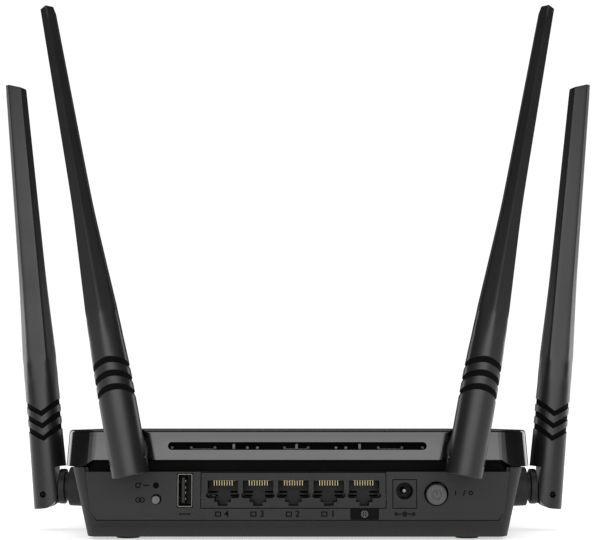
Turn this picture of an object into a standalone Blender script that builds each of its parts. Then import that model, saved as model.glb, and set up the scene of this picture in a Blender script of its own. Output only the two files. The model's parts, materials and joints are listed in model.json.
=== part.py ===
"""Desktop wireless router with four hinged antennas, modelled as an assembly.

+Z is up and the port side faces -Y. The origin is at the middle of the footprint, on the table.
Blender units are metres. Left and right are as seen from the port side, so left is -X.
"""

import math

import bmesh
import bpy
from mathutils import Matrix, Vector

# Casing
BODY_DEPTH = 0.122
FOOT_HEIGHT = 0.0012
HOUSING_BASE_Z = FOOT_HEIGHT
HOUSING_TOP_Z = 0.0284
COVER_BOTTOM_Z = 0.0287
COVER_TOP_Z = 0.0432
COVER_HALF_WIDTH = 0.0935
HOUSING_HALF_WIDTH = 0.0903
SIDE_DRAFT = 0.235
HOUSING_CORNER = 0.010
COVER_CORNER = 0.014
WALL = 0.002
GAP = 0.0003
CORNER_STEPS = 5

# Rear panel, on the plane where the sockets end
PANEL_TOP_Z = 0.0267
PANEL_KNEE_Z = 0.0114
PANEL_BOTTOM_Z = 0.0079
PANEL_TOP_HALF = 0.0840
PANEL_KNEE_HALF = 0.0818
PANEL_BOTTOM_HALF = 0.0792
PANEL_THICKNESS = 0.0022
RIM_TOP_Z = 0.0048
RIM_SET_BACK = 0.0016
BAND_SET_BACK = 0.0026
REAR_WALL_BOTTOM_Z = 0.0314

# Vent in the cover's rear wall
VENT_HALF_WIDTH = 0.0513
VENT_CENTRE_Z = 0.03685
VENT_HEIGHT = 0.0031
VENT_RIBS_X = (-0.0253, -0.0003, 0.0248)

# Antenna hinges: distances along the swivel axis count outwards from the face of the boss
BOSS_OUT_REAR = 0.0060
BOSS_LENGTH = 0.0147
REAR_BOSS_RADIUS = 0.0079
SIDE_BOSS_RADIUS = 0.0083
SIDE_BOSS_FACE_X = 0.0989
DISC_RADIUS = 0.00755
DISC_START = 0.0015
DISC_END = 0.0043
SHAFT_RADIUS = 0.0044
SHAFT_HOLE_RADIUS = 0.0047
COLLAR_RADIUS = 0.0058
PIN_FROM_DISC = 0.0063
PIN_OUT = DISC_END + PIN_FROM_DISC
PIN_DROP = 0.0033
PIN_RADIUS = 0.0013
PIN_HOLE_RADIUS = 0.0014
TONGUE_RADIUS = 0.0038
TONGUE_THICKNESS = 0.0050

# Antennas: heights count from the hinge pin
ANTENNA_BELOW_PIN = 0.0060
ANTENNA_LENGTH = 0.1885
ANTENNA_TOP = ANTENNA_LENGTH - ANTENNA_BELOW_PIN
ANTENNA_AXIS_SHIFT = -0.0024
BASE_S = 0.0156
TIP_S = 0.0092
ROUND_P = 0.0146
WAIST_P = 0.0074
TIP_P = 0.0053
ROUND_TOP = 0.030
WAIST = 0.102
SECTION_SIDES = 18
TIP_SLANT = 0.0030

REAR_REACH = BOSS_OUT_REAR + PIN_OUT + ANTENNA_AXIS_SHIFT + BASE_S / 2
REAR_Y = REAR_REACH - (BODY_DEPTH + REAR_REACH) / 2
FRONT_Y = REAR_Y + BODY_DEPTH
SIDE_HINGE_Y = REAR_Y + 0.056
SIDE_HINGE_Z = 0.0186
REAR_HINGE_X = 0.0659
REAR_HINGE_Z = 0.0349
SIDE_LEAN = math.radians(6.1)
REAR_LEAN = math.radians(10.9)

# Sockets and buttons on the rear panel
LAN_CENTRE_X = -0.00152
LAN_PITCH = 0.01397
LAN_PORTS = 5
LAN_BLOCK_HALF = LAN_PITCH * LAN_PORTS / 2 + 0.0015
LAN_BLOCK_Z = (0.0126, 0.0263)
LAN_BLOCK_DEPTH = 0.0160
USB_X = (-0.0473, -0.0415)
USB_Z = (0.0130, 0.0259)
USB_DEPTH = 0.0140
USB_SHEET = 0.0004
DC_X = (0.0379, 0.0470)
DC_Z = (0.0126, 0.0235)
DC_DEPTH = 0.0140
DC_HOLE = (0.0424, 0.0192)
DC_HOLE_RADIUS = 0.00315
POWER_XZ = (0.0549, 0.01785)
POWER_RADIUS = 0.00405
POWER_HOLE_RADIUS = 0.00465
POWER_TRAVEL = 0.0015
KEYS_X = -0.0559
RESET_Z = 0.0214
RESET_HOLE_RADIUS = 0.0012
PAIR_Z = 0.0157
PAIR_RADIUS = 0.0016
PAIR_HOLE_RADIUS = 0.00195
PAIR_TRAVEL = 0.0005

# Circuit board and what stands on it
BOARD_Z = (0.0107, 0.0123)
BOARD_HALF_WIDTH = 0.0715
BOARD_FRONT_Y = REAR_Y + 0.100
PART_Z = BOARD_Z[1] + GAP
BOARD_SCREWS = [(x, REAR_Y + y) for y in (0.030, 0.092) for x in (-0.066, 0.066)]
COVER_SCREWS = [(x, REAR_Y + y) for y in (0.020, 0.102) for x in (-0.0775, 0.0775)]
FEET = [(x, REAR_Y + y) for y in (0.0135, 0.106) for x in (-0.0682, 0.0682)]
FOOT_RADIUS = 0.0047
CORNER_NAMES = ("rear_left", "rear_right", "front_left", "front_right")
LED_COUNT = 9
LED_PITCH = 0.0085
LED_Y = FRONT_Y - 0.0130


def clear_scene():
    for obj in list(bpy.data.objects):
        bpy.data.objects.remove(obj, do_unlink=True)


clear_scene()
router = bpy.data.collections.new("wireless_router")
helpers = bpy.data.collections.new("cutters")
bpy.context.scene.collection.children.link(router)
bpy.context.scene.collection.children.link(helpers)


# ---- Small modelling tools ----


def material(name, colour, roughness, metallic=0.0):
    made = bpy.data.materials.new(name)
    made.use_nodes = True
    shader = made.node_tree.nodes["Principled BSDF"]
    shader.inputs["Base Color"].default_value = (*colour, 1.0)
    shader.inputs["Roughness"].default_value = roughness
    shader.inputs["Metallic"].default_value = metallic
    return made


def add_box(shape, low, high):
    """A box between two corners, added to a bmesh."""
    low, high = Vector(low), Vector(high)
    size = Matrix.Diagonal((*(high - low), 1.0))
    bmesh.ops.create_cube(shape, size=1.0, matrix=Matrix.Translation((low + high) / 2) @ size)


def add_rod(shape, start, end, radius, sides=24, end_radius=None):
    """A round rod or cone from start to end, added to a bmesh."""
    start, end = Vector(start), Vector(end)
    along = end - start
    turn = along.to_track_quat("Z", "Y").to_matrix().to_4x4()
    bmesh.ops.create_cone(
        shape,
        cap_ends=True,
        segments=sides,
        radius1=radius,
        radius2=radius if end_radius is None else end_radius,
        depth=along.length,
        matrix=Matrix.Translation((start + end) / 2) @ turn,
    )


def add_loft(shape, rings):
    """A closed skin through rings of points that all have the same count and direction."""
    rows = [[shape.verts.new(point) for point in ring] for ring in rings]
    count = len(rows[0])
    for lower, upper in zip(rows, rows[1:]):
        for i in range(count):
            j = (i + 1) % count
            shape.faces.new((lower[i], lower[j], upper[j], upper[i]))
    shape.faces.new(tuple(reversed(rows[0])))
    shape.faces.new(tuple(rows[-1]))


def add_prism(shape, outline, low_y, high_y):
    """An outline in X and Z, given anticlockwise from the front, extruded along Y."""
    add_loft(shape, [[(x, y, z) for x, z in outline] for y in (high_y, low_y)])


def object_of(shape, name, collection, finish=None):
    """Turns a bmesh into an object whose faces point outwards."""
    bmesh.ops.recalc_face_normals(shape, faces=shape.faces)
    mesh = bpy.data.meshes.new(name)
    shape.to_mesh(mesh)
    shape.free()
    obj = bpy.data.objects.new(name, mesh)
    collection.objects.link(obj)
    if finish:
        mesh.materials.append(finish)
    return obj


def helper(shape, name):
    """A hidden solid that a Boolean uses."""
    obj = object_of(shape, name, helpers)
    obj.hide_render = True
    obj.display_type = "WIRE"
    return obj


def combine(obj, operation, shape, name):
    """Adds a Boolean that joins or cuts obj with the solids of a bmesh."""
    step = obj.modifiers.new(name, "BOOLEAN")
    step.operation = operation
    step.solver = "EXACT"
    step.object = helper(shape, name)
    return obj


def cut(obj, shape, name):
    return combine(obj, "DIFFERENCE", shape, name)


def join(obj, shape, name):
    return combine(obj, "UNION", shape, name)


def soften(obj, width, segments=1, angle=35):
    """Rounds the sharp edges with a bevel."""
    step = obj.modifiers.new("softened_edges", "BEVEL")
    step.width = width
    step.segments = segments
    step.limit_method = "ANGLE"
    step.angle_limit = math.radians(angle)
    return obj


def smooth(obj, angle=35):
    obj.data.shade_smooth()
    obj.data.set_sharp_from_angle(angle=math.radians(angle))
    return obj


def finished_mesh(obj):
    """The evaluated mesh of a pattern piece. The pattern and its helpers are then removed."""
    bpy.context.view_layer.update()
    graph = bpy.context.evaluated_depsgraph_get()
    mesh = bpy.data.meshes.new_from_object(obj.evaluated_get(graph))
    used = [step.object for step in obj.modifiers if step.type == "BOOLEAN"]
    for old in [obj, *used]:
        bpy.data.objects.remove(old, do_unlink=True)
    return mesh


def box_part(name, low, high, finish, edge=0.0003):
    shape = bmesh.new()
    add_box(shape, low, high)
    return soften(object_of(shape, name, router, finish), edge)


# ---- Materials ----

matte_black = material("moulded_abs_charcoal", (0.030, 0.030, 0.031), 0.62)
gloss_black = material("gloss_abs_black", (0.012, 0.012, 0.013), 0.12)
antenna_black = material("antenna_abs_black", (0.017, 0.017, 0.018), 0.48)
hinge_black = material("hinge_nylon_black", (0.020, 0.020, 0.021), 0.50)
socket_black = material("socket_pbt_black", (0.018, 0.018, 0.019), 0.45)
button_grey = material("button_abs_grey", (0.060, 0.060, 0.062), 0.45)
pair_grey = material("button_abs_light_grey", (0.190, 0.190, 0.195), 0.45)
rubber_black = material("foot_rubber", (0.015, 0.015, 0.015), 0.85)
contact_gold = material("contact_gold_plate", (0.720, 0.500, 0.170), 0.25, 1.0)
nickel = material("shell_nickel_plate", (0.560, 0.550, 0.530), 0.30, 1.0)
steel = material("screw_zinc_steel", (0.480, 0.480, 0.480), 0.38, 1.0)
pin_steel = material("hinge_pin_blackened_steel", (0.050, 0.050, 0.052), 0.40, 1.0)
tin_can = material("shield_tinned_steel", (0.620, 0.620, 0.610), 0.35, 1.0)
board_green = material("board_solder_mask", (0.010, 0.085, 0.035), 0.40)
chip_black = material("chip_epoxy", (0.020, 0.020, 0.022), 0.55)
sink_metal = material("heat_sink_anodised", (0.080, 0.080, 0.085), 0.40, 1.0)
ferrite_grey = material("inductor_ferrite", (0.075, 0.075, 0.078), 0.60)
sleeve_black = material("capacitor_sleeve", (0.030, 0.032, 0.045), 0.40)
coax_grey = material("coax_jacket_grey", (0.220, 0.220, 0.220), 0.50)
clear_acrylic = material("light_pipe_acrylic", (0.800, 0.820, 0.820), 0.15)


# ---- Casing ----


def rounded_ring(half_width, low_y, high_y, corner, z):
    """Points round a rectangle with rounded corners, anticlockwise from above."""
    centres = (
        (half_width - corner, high_y - corner, 0),
        (-half_width + corner, high_y - corner, 1),
        (-half_width + corner, low_y + corner, 2),
        (half_width - corner, low_y + corner, 3),
    )
    ring = []
    for x, y, quarter in centres:
        for step in range(CORNER_STEPS + 1):
            angle = math.pi / 2 * (quarter + step / CORNER_STEPS)
            ring.append((x + corner * math.cos(angle), y + corner * math.sin(angle), z))
    return ring


def housing_ring(z, rear_set_back, inset=0.0):
    """The housing's outline at a height. Its sides and front draw in towards the base."""
    draw = SIDE_DRAFT * (HOUSING_TOP_Z - z)
    return rounded_ring(
        HOUSING_HALF_WIDTH - draw - inset,
        REAR_Y + rear_set_back + inset,
        FRONT_Y - 0.0015 - draw - inset,
        HOUSING_CORNER - inset,
        z,
    )


def make_bottom_housing():
    shape = bmesh.new()
    base = housing_ring(HOUSING_BASE_Z, RIM_SET_BACK, 0.0009)
    heel = housing_ring(HOUSING_BASE_Z + 0.0009, RIM_SET_BACK)
    rim = housing_ring(RIM_TOP_Z, RIM_SET_BACK)
    add_loft(shape, [base, heel, rim, housing_ring(PANEL_BOTTOM_Z, 0), housing_ring(HOUSING_TOP_Z, 0)])
    housing = object_of(shape, "bottom_housing", router, matte_black)

    bosses = bmesh.new()
    for side in (-1, 1):
        face = Vector((side * SIDE_BOSS_FACE_X, SIDE_HINGE_Y, SIDE_HINGE_Z))
        foot = face - Vector((side * (BOSS_LENGTH + 0.001), 0, 0))
        add_rod(bosses, foot, face, SIDE_BOSS_RADIUS + 0.0006, 24, SIDE_BOSS_RADIUS)
    join(housing, bosses, "side_bosses")

    inside = bmesh.new()
    floor_z = HOUSING_BASE_Z + WALL
    levels = ((floor_z, RIM_SET_BACK), (RIM_TOP_Z, RIM_SET_BACK), (PANEL_BOTTOM_Z, 0), (0.0300, 0))
    add_loft(inside, [housing_ring(z, back, WALL) for z, back in levels])
    cut(housing, inside, "housing_inside")

    inner_bosses = bmesh.new()
    for side in (-1, 1):
        face = Vector((side * SIDE_BOSS_FACE_X, SIDE_HINGE_Y, SIDE_HINGE_Z))
        inward = Vector((-side, 0, 0))
        add_rod(inner_bosses, face + inward * BOSS_LENGTH, face + inward * 0.0060, 0.0064, 16)
    for x, y in BOARD_SCREWS:
        add_rod(inner_bosses, (x, y, floor_z - 0.001), (x, y, BOARD_Z[0] - GAP), 0.0030, 12)
    for x, y in COVER_SCREWS:
        add_rod(inner_bosses, (x, y, floor_z - 0.001), (x, y, floor_z + 0.0022), 0.0042, 12)
    join(housing, inner_bosses, "inner_bosses")

    opening = bmesh.new()
    add_prism(opening, panel_outline(GAP, 0.0320), REAR_Y - 0.001, REAR_Y + 0.0030)
    cut(housing, opening, "panel_opening")

    holes = bmesh.new()
    for side in (-1, 1):
        face = Vector((side * (SIDE_BOSS_FACE_X + 0.001), SIDE_HINGE_Y, SIDE_HINGE_Z))
        add_rod(holes, face, face - Vector((side * 0.0160, 0, 0)), SHAFT_HOLE_RADIUS, 20)
    for x, y in BOARD_SCREWS:
        add_rod(holes, (x, y, floor_z + 0.0005), (x, y, BOARD_Z[1]), 0.0013, 8)
    for x, y in COVER_SCREWS:
        add_rod(holes, (x, y, 0), (x, y, 0.0080), 0.0017, 8)
    cut(housing, holes, "housing_holes")
    recesses = bmesh.new()
    for x, y in COVER_SCREWS:
        add_rod(recesses, (x, y, 0), (x, y, HOUSING_BASE_Z + 0.0024), 0.0031, 12)
    for x, y in FEET:
        add_rod(recesses, (x, y, 0), (x, y, HOUSING_BASE_Z + 0.0006), FOOT_RADIUS + GAP, 16)
    cut(housing, recesses, "base_recesses")

    vents = bmesh.new()
    for row in range(2):
        for column in range(7):
            x = 0.0130 * (column - 3)
            y = REAR_Y + 0.034 + 0.032 * row
            add_box(vents, (x - 0.0012, y, 0), (x + 0.0012, y + 0.024, 0.0060))
    cut(housing, vents, "base_vents")
    return smooth(housing)


def panel_outline(clearance, top_z):
    """The rear panel's outline in X and Z up to a height, grown by a clearance."""
    slope = (PANEL_TOP_HALF - PANEL_KNEE_HALF) / (PANEL_TOP_Z - PANEL_KNEE_Z)
    top_half = PANEL_KNEE_HALF + slope * (top_z - PANEL_KNEE_Z)
    half = (
        (PANEL_BOTTOM_HALF + clearance, PANEL_BOTTOM_Z - clearance),
        (PANEL_KNEE_HALF + clearance, PANEL_KNEE_Z),
        (top_half + clearance, top_z),
    )
    return [(x, z) for x, z in half] + [(-x, z) for x, z in reversed(half)]


def make_rear_panel():
    shape = bmesh.new()
    add_prism(shape, panel_outline(0, PANEL_TOP_Z), REAR_Y, REAR_Y + PANEL_THICKNESS)
    panel = object_of(shape, "rear_panel", router, matte_black)

    lip = bmesh.new()
    lip_back = REAR_Y + BAND_SET_BACK + 0.0018
    lip_half = PANEL_TOP_HALF - 0.0025
    add_box(lip, (-lip_half, REAR_Y + 0.001, 0.0247), (lip_half, lip_back, PANEL_TOP_Z - 0.0002))
    join(panel, lip, "panel_shelf")
    band = bmesh.new()
    add_box(band, (-lip_half, REAR_Y + BAND_SET_BACK, 0.0255), (lip_half, lip_back, 0.0310))
    join(panel, band, "panel_upper_lip")

    holes = bmesh.new()
    deep = REAR_Y + 0.008
    block_half = LAN_BLOCK_HALF + GAP
    add_box(
        holes,
        (LAN_CENTRE_X - block_half, REAR_Y - 0.001, LAN_BLOCK_Z[0] - GAP),
        (LAN_CENTRE_X + block_half, deep, LAN_BLOCK_Z[1] + GAP),
    )
    add_box(holes, (USB_X[0] - GAP, REAR_Y - 0.001, USB_Z[0] - GAP), (USB_X[1] + GAP, deep, USB_Z[1] + GAP))
    add_box(holes, (DC_X[0] - GAP, REAR_Y - 0.001, DC_Z[0] - GAP), (DC_X[1] + GAP, deep, DC_Z[1] + GAP))
    for x, z, radius in (
        (*POWER_XZ, POWER_HOLE_RADIUS),
        (KEYS_X, RESET_Z, RESET_HOLE_RADIUS),
        (KEYS_X, PAIR_Z, PAIR_HOLE_RADIUS),
    ):
        add_rod(holes, (x, REAR_Y - 0.001, z), (x, deep, z), radius, 20)
    for side in (-1, 1):
        x = side * REAR_HINGE_X
        reach = REAR_BOSS_RADIUS + GAP
        add_box(holes, (x - reach, REAR_Y + 0.0024, REAR_HINGE_Z - reach), (x + reach, deep, 0.0330))
    cut(panel, holes, "panel_holes")
    return smooth(panel)


def cover_ring(half_width, inset, z, rear_inset=None):
    rear = inset if rear_inset is None else rear_inset
    return rounded_ring(half_width - inset, REAR_Y + rear, FRONT_Y - inset, COVER_CORNER - inset, z)


def make_top_cover():
    shape = bmesh.new()
    shoulder = COVER_TOP_Z - 0.0012
    rings = [
        cover_ring(COVER_HALF_WIDTH, 0.0, COVER_BOTTOM_Z),
        cover_ring(COVER_HALF_WIDTH - 0.0011, 0.0, shoulder, 0.0006),
        cover_ring(COVER_HALF_WIDTH - 0.0011, 0.0004, COVER_TOP_Z - 0.0004, 0.0009),
        cover_ring(COVER_HALF_WIDTH - 0.0011, 0.0014, COVER_TOP_Z, 0.0018),
    ]
    add_loft(shape, rings)
    cover = object_of(shape, "top_cover", router, gloss_black)

    inside = bmesh.new()
    inner = COVER_TOP_Z - WALL
    add_loft(inside, [cover_ring(COVER_HALF_WIDTH - 0.0011, WALL, z, 0.0062) for z in (0.0200, inner)])
    cut(cover, inside, "cover_inside")

    # The rear wall steps in on both sides of its middle, to make room for the rear hinges.
    rear = bmesh.new()
    for side in (-1, 1):
        rings = []
        for z, edge in ((0.0250, 0.0544), (0.0450, 0.0588)):
            plan = (
                (edge, REAR_Y - 0.002),
                (edge + 0.0042, REAR_Y + 0.0040),
                (0.0742, REAR_Y + 0.0040),
                (0.0752, REAR_Y - 0.002),
            )
            rings.append([(side * x, y, z) for x, y in plan])
        add_loft(rear, rings)
    cut(cover, rear, "hinge_pockets")

    # Its lower edge is higher than the sides', which leaves a dark band over the rear panel.
    low = bmesh.new()
    outline = (
        (-0.0860, 0.0270),
        (0.0860, 0.0270),
        (0.0860, 0.0296),
        (0.0810, REAR_WALL_BOTTOM_Z),
        (-0.0810, REAR_WALL_BOTTOM_Z),
        (-0.0860, 0.0296),
    )
    add_prism(low, outline, REAR_Y - 0.002, REAR_Y + 0.0100)
    cut(cover, low, "rear_edge")

    bosses = bmesh.new()
    for side in (-1, 1):
        x = side * REAR_HINGE_X
        face = (x, REAR_Y - BOSS_OUT_REAR, REAR_HINGE_Z)
        root = (x, REAR_Y + 0.0050, REAR_HINGE_Z)
        end = (x, REAR_Y - BOSS_OUT_REAR + BOSS_LENGTH, REAR_HINGE_Z)
        add_rod(bosses, face, root, REAR_BOSS_RADIUS, 24)
        add_rod(bosses, (x, REAR_Y + 0.0056, REAR_HINGE_Z), end, 0.0061, 16)
    join(cover, bosses, "rear_bosses")
    links = bmesh.new()
    for side in (-1, 1):
        x = side * REAR_HINGE_X
        add_rod(links, (x, REAR_Y + 0.0045, REAR_HINGE_Z), (x, REAR_Y + 0.0060, REAR_HINGE_Z), 0.0061, 16)
    for x, y in COVER_SCREWS:
        add_rod(links, (x, y, HOUSING_BASE_Z + WALL + 0.0025), (x, y, inner + 0.0005), 0.0031, 10)
    join(cover, links, "screw_posts")

    holes = bmesh.new()
    for side in (-1, 1):
        outer = (side * REAR_HINGE_X, REAR_Y - 0.008, REAR_HINGE_Z)
        add_rod(holes, outer, (side * REAR_HINGE_X, REAR_Y + 0.009, REAR_HINGE_Z), SHAFT_HOLE_RADIUS, 20)
    for x, y in COVER_SCREWS:
        add_rod(holes, (x, y, 0.0040), (x, y, 0.0205), 0.0013, 8)
    for i in range(LED_COUNT):
        x = LED_PITCH * (i - (LED_COUNT - 1) / 2)
        add_rod(holes, (x, LED_Y, inner - 0.001), (x, LED_Y, COVER_TOP_Z + 0.001), 0.00105, 10)
    cut(cover, holes, "cover_holes")

    # A round-ended slot, with a relief behind it that thins the wall to the casing's thickness.
    vent = bmesh.new()
    end_x = VENT_HALF_WIDTH - VENT_HEIGHT / 2
    outline = []
    for side, start in ((1, -math.pi / 2), (-1, math.pi / 2)):
        for step in range(7):
            angle = start + math.pi * step / 6
            x = side * end_x + VENT_HEIGHT / 2 * math.cos(angle)
            outline.append((x, VENT_CENTRE_Z + VENT_HEIGHT / 2 * math.sin(angle)))
    add_prism(vent, outline, REAR_Y - 0.001, REAR_Y + 0.0080)
    cut(cover, vent, "vent_slot")
    relief = bmesh.new()
    add_box(relief, (-0.0528, REAR_Y + 0.0026, 0.0331), (0.0528, REAR_Y + 0.0080, 0.0405))
    cut(cover, relief, "vent_relief")
    ribs = bmesh.new()
    for x in VENT_RIBS_X:
        add_box(ribs, (x - 0.0006, REAR_Y + 0.0014, 0.0345), (x + 0.0006, REAR_Y + 0.0026, 0.0392))
    join(cover, ribs, "vent_ribs")
    return smooth(cover)


def make_light_pipe():
    shape = bmesh.new()
    half = LED_PITCH * (LED_COUNT - 1) / 2 + 0.003
    add_box(shape, (-half, LED_Y - 0.002, 0.0385), (half, LED_Y + 0.002, COVER_TOP_Z - WALL - GAP))
    pipe = object_of(shape, "led_light_pipe", router, clear_acrylic)
    posts = bmesh.new()
    for i in range(LED_COUNT):
        x = LED_PITCH * (i - (LED_COUNT - 1) / 2)
        add_rod(posts, (x, LED_Y, 0.0395), (x, LED_Y, COVER_TOP_Z - 0.0001), 0.00075, 8)
    return smooth(join(pipe, posts, "light_posts"))


def make_feet_and_screws():
    for corner, (x, y) in zip(CORNER_NAMES, FEET):
        shape = bmesh.new()
        add_rod(shape, (x, y, 0), (x, y, FOOT_HEIGHT + GAP), FOOT_RADIUS, 16)
        foot = object_of(shape, f"foot_{corner}", router, rubber_black)
        smooth(soften(foot, 0.0003))
    for corner, (x, y) in zip(CORNER_NAMES, COVER_SCREWS):
        head_z = HOUSING_BASE_Z + 0.0024 - GAP
        make_screw(f"cover_screw_{corner}", x, y, head_z, -1, 0.0027, 0.0160, 0.0011)
    for corner, (x, y) in zip(CORNER_NAMES, BOARD_SCREWS):
        make_screw(f"board_screw_{corner}", x, y, BOARD_Z[1] + GAP, 1, 0.0025, 0.0065, 0.0011)


def make_screw(name, x, y, seat_z, head_up, head_radius, length, radius):
    """A pan-head screw with a cross recess. Its head stands up or down from the seat."""
    shape = bmesh.new()
    top = seat_z + head_up * 0.0016
    add_rod(shape, (x, y, seat_z), (x, y, top), head_radius, 12, head_radius * 0.8)
    screw = object_of(shape, name, router, steel)
    shank = bmesh.new()
    add_rod(shank, (x, y, seat_z + head_up * 0.0005), (x, y, seat_z - head_up * length), radius, 8)
    join(screw, shank, f"{name}_shank")
    cross = bmesh.new()
    add_box(cross, (x - 0.0012, y - 0.0003, top - 0.0008), (x + 0.0012, y + 0.0003, top + 0.0008))
    cut(screw, cross, f"{name}_recess")
    return smooth(screw)


# ---- Sockets ----


def lan_ports():
    return [LAN_CENTRE_X + LAN_PITCH * (i - (LAN_PORTS - 1) / 2) for i in range(LAN_PORTS)]


def make_lan_sockets():
    low = (LAN_CENTRE_X - LAN_BLOCK_HALF, REAR_Y, LAN_BLOCK_Z[0])
    high = (LAN_CENTRE_X + LAN_BLOCK_HALF, REAR_Y + LAN_BLOCK_DEPTH, LAN_BLOCK_Z[1])
    shape = bmesh.new()
    add_box(shape, low, high)
    block = object_of(shape, "lan_socket_block", router, socket_black)
    ports = bmesh.new()
    front, back = REAR_Y - 0.001, REAR_Y + 0.0128
    for x in lan_ports():
        outline = (
            (x - 0.0019, 0.0134),
            (x + 0.0019, 0.0134),
            (x + 0.0019, 0.0149),
            (x + 0.0033, 0.0149),
            (x + 0.0033, 0.0164),
            (x + 0.0060, 0.0164),
            (x + 0.0060, 0.0233),
            (x - 0.0060, 0.0233),
            (x - 0.0060, 0.0164),
            (x - 0.0033, 0.0164),
            (x - 0.0033, 0.0149),
            (x - 0.0019, 0.0149),
        )
        add_prism(ports, outline, front, back)
    cut(block, ports, "lan_port_openings")
    seat = bmesh.new()
    for x in lan_ports():
        add_box(seat, (x - 0.0048, REAR_Y + 0.0020, 0.0225), (x + 0.0048, REAR_Y + 0.0170, 0.0250))
    cut(block, seat, "contact_seats")

    strip = bmesh.new()
    back_y = REAR_Y + LAN_BLOCK_DEPTH + GAP
    reach = LAN_PITCH * (LAN_PORTS - 1) / 2 + 0.0048
    add_box(strip, (LAN_CENTRE_X - reach, back_y, 0.0200), (LAN_CENTRE_X + reach, back_y + 0.0012, 0.0247))
    contacts = object_of(strip, "lan_contact_strip", router, contact_gold)
    fingers = bmesh.new()
    for x in lan_ports():
        for i in range(8):
            centre = x + 0.00102 * (i - 3.5)
            add_box(
                fingers,
                (centre - 0.0002, REAR_Y + 0.0028, 0.0237),
                (centre + 0.0002, back_y + 0.0006, 0.0241),
            )
    join(contacts, fingers, "contact_fingers")
    return block, contacts


def make_usb_socket():
    low = Vector((USB_X[0], REAR_Y - 0.0002, USB_Z[0]))
    high = Vector((USB_X[1], REAR_Y + USB_DEPTH, USB_Z[1]))
    shape = bmesh.new()
    add_box(shape, low, high)
    shell = object_of(shape, "usb_shell", router, nickel)
    hollow = bmesh.new()
    sheet = Vector((USB_SHEET, 0, USB_SHEET))
    add_box(hollow, low + sheet - Vector((0, 0.001, 0)), high - sheet + Vector((0, 0.001, 0)))
    cut(shell, hollow, "usb_shell_inside")
    tongue = bmesh.new()
    inner_low = low + sheet + Vector((GAP, 0, GAP))
    inner_high = high - sheet - Vector((GAP, 0, GAP))
    add_box(tongue, (inner_low.x, REAR_Y + 0.0100, inner_low.z), (inner_high.x, inner_high.y, inner_high.z))
    insulator = object_of(tongue, "usb_tongue", router, socket_black)
    blade = bmesh.new()
    blade_x = inner_low.x + 0.0008
    add_box(
        blade,
        (blade_x, REAR_Y + 0.0012, inner_low.z + 0.0008),
        (blade_x + 0.0014, REAR_Y + 0.0110, inner_high.z - 0.0008),
    )
    join(insulator, blade, "usb_blade")
    return shell, insulator


def make_dc_jack():
    x, z = DC_HOLE
    jack = box_part(
        "dc_jack_body", (DC_X[0], REAR_Y, DC_Z[0]), (DC_X[1], REAR_Y + DC_DEPTH, DC_Z[1]), socket_black
    )
    bore = bmesh.new()
    add_rod(bore, (x, REAR_Y - 0.001, z), (x, REAR_Y + 0.0100, z), DC_HOLE_RADIUS, 20)
    cut(jack, bore, "dc_jack_bore")
    socket = bmesh.new()
    add_rod(socket, (x, REAR_Y + 0.0090, z), (x, REAR_Y + 0.0150, z), 0.0013, 10)
    cut(jack, socket, "dc_pin_seat")
    pin = bmesh.new()
    add_rod(pin, (x, REAR_Y + 0.0016, z), (x, REAR_Y + 0.0136, z), 0.0010, 10)
    smooth(soften(object_of(pin, "dc_jack_pin", router, nickel), 0.0003))
    return smooth(jack)


# ---- Buttons ----


def make_power_switch():
    x, z = POWER_XZ
    body = box_part(
        "power_switch_body",
        (x - 0.0043, REAR_Y + 0.0072, PART_Z),
        (x + 0.0043, REAR_Y + 0.0180, z + 0.0043),
        chip_black,
    )
    well = bmesh.new()
    add_box(well, (x - 0.0020, REAR_Y + 0.006, z - 0.0020), (x + 0.0020, REAR_Y + 0.0140, z + 0.0020))
    cut(body, well, "power_switch_well")
    shape = bmesh.new()
    add_rod(shape, (0, -0.0022, 0), (0, 0.0050, 0), POWER_RADIUS, 24)
    button = object_of(shape, "power_button", router, button_grey)
    soften(button, 0.0005)
    stem = bmesh.new()
    add_box(stem, (-0.0016, 0.0040, -0.0016), (0.0016, 0.0100, 0.0016))
    join(button, stem, "power_button_stem")
    button.location = (x, REAR_Y, z)
    button.modifiers["power_button_stem"].object.location = button.location
    return smooth(button)


def make_keys():
    """The pairing button and the recessed reset plunger, over one block of two switches."""
    block = box_part(
        "dual_switch_body",
        (KEYS_X - 0.0040, REAR_Y + 0.0060, PART_Z),
        (KEYS_X + 0.0040, REAR_Y + 0.0130, 0.0245),
        chip_black,
    )
    shape = bmesh.new()
    add_rod(shape, (0, -0.0008, 0), (0, 0.0036, 0), PAIR_RADIUS, 16)
    pair = soften(object_of(shape, "pair_button", router, pair_grey), 0.0002)
    stem = bmesh.new()
    add_rod(stem, (0, 0.0030, 0), (0, 0.0052, 0), 0.0009, 8)
    join(pair, stem, "pair_button_stem")
    pair.location = (KEYS_X, REAR_Y, PAIR_Z)
    pair.modifiers["pair_button_stem"].object.location = pair.location
    plunger = bmesh.new()
    add_rod(plunger, (0, 0.0028, 0), (0, 0.0053, 0), 0.0008, 12)
    reset = soften(object_of(plunger, "reset_plunger", router, pair_grey), 0.0001)
    reset.location = (KEYS_X, REAR_Y, RESET_Z)
    return block, smooth(pair), smooth(reset)


# ---- Circuit board ----


def make_circuit_board():
    board = box_part(
        "circuit_board",
        (-BOARD_HALF_WIDTH, REAR_Y + 0.0046, BOARD_Z[0]),
        (BOARD_HALF_WIDTH, BOARD_FRONT_Y, BOARD_Z[1]),
        board_green,
        0.0002,
    )
    holes = bmesh.new()
    for x, y in BOARD_SCREWS:
        add_rod(holes, (x, y, 0.009), (x, y, 0.014), 0.0016, 10)
    return cut(board, holes, "board_holes")


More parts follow.
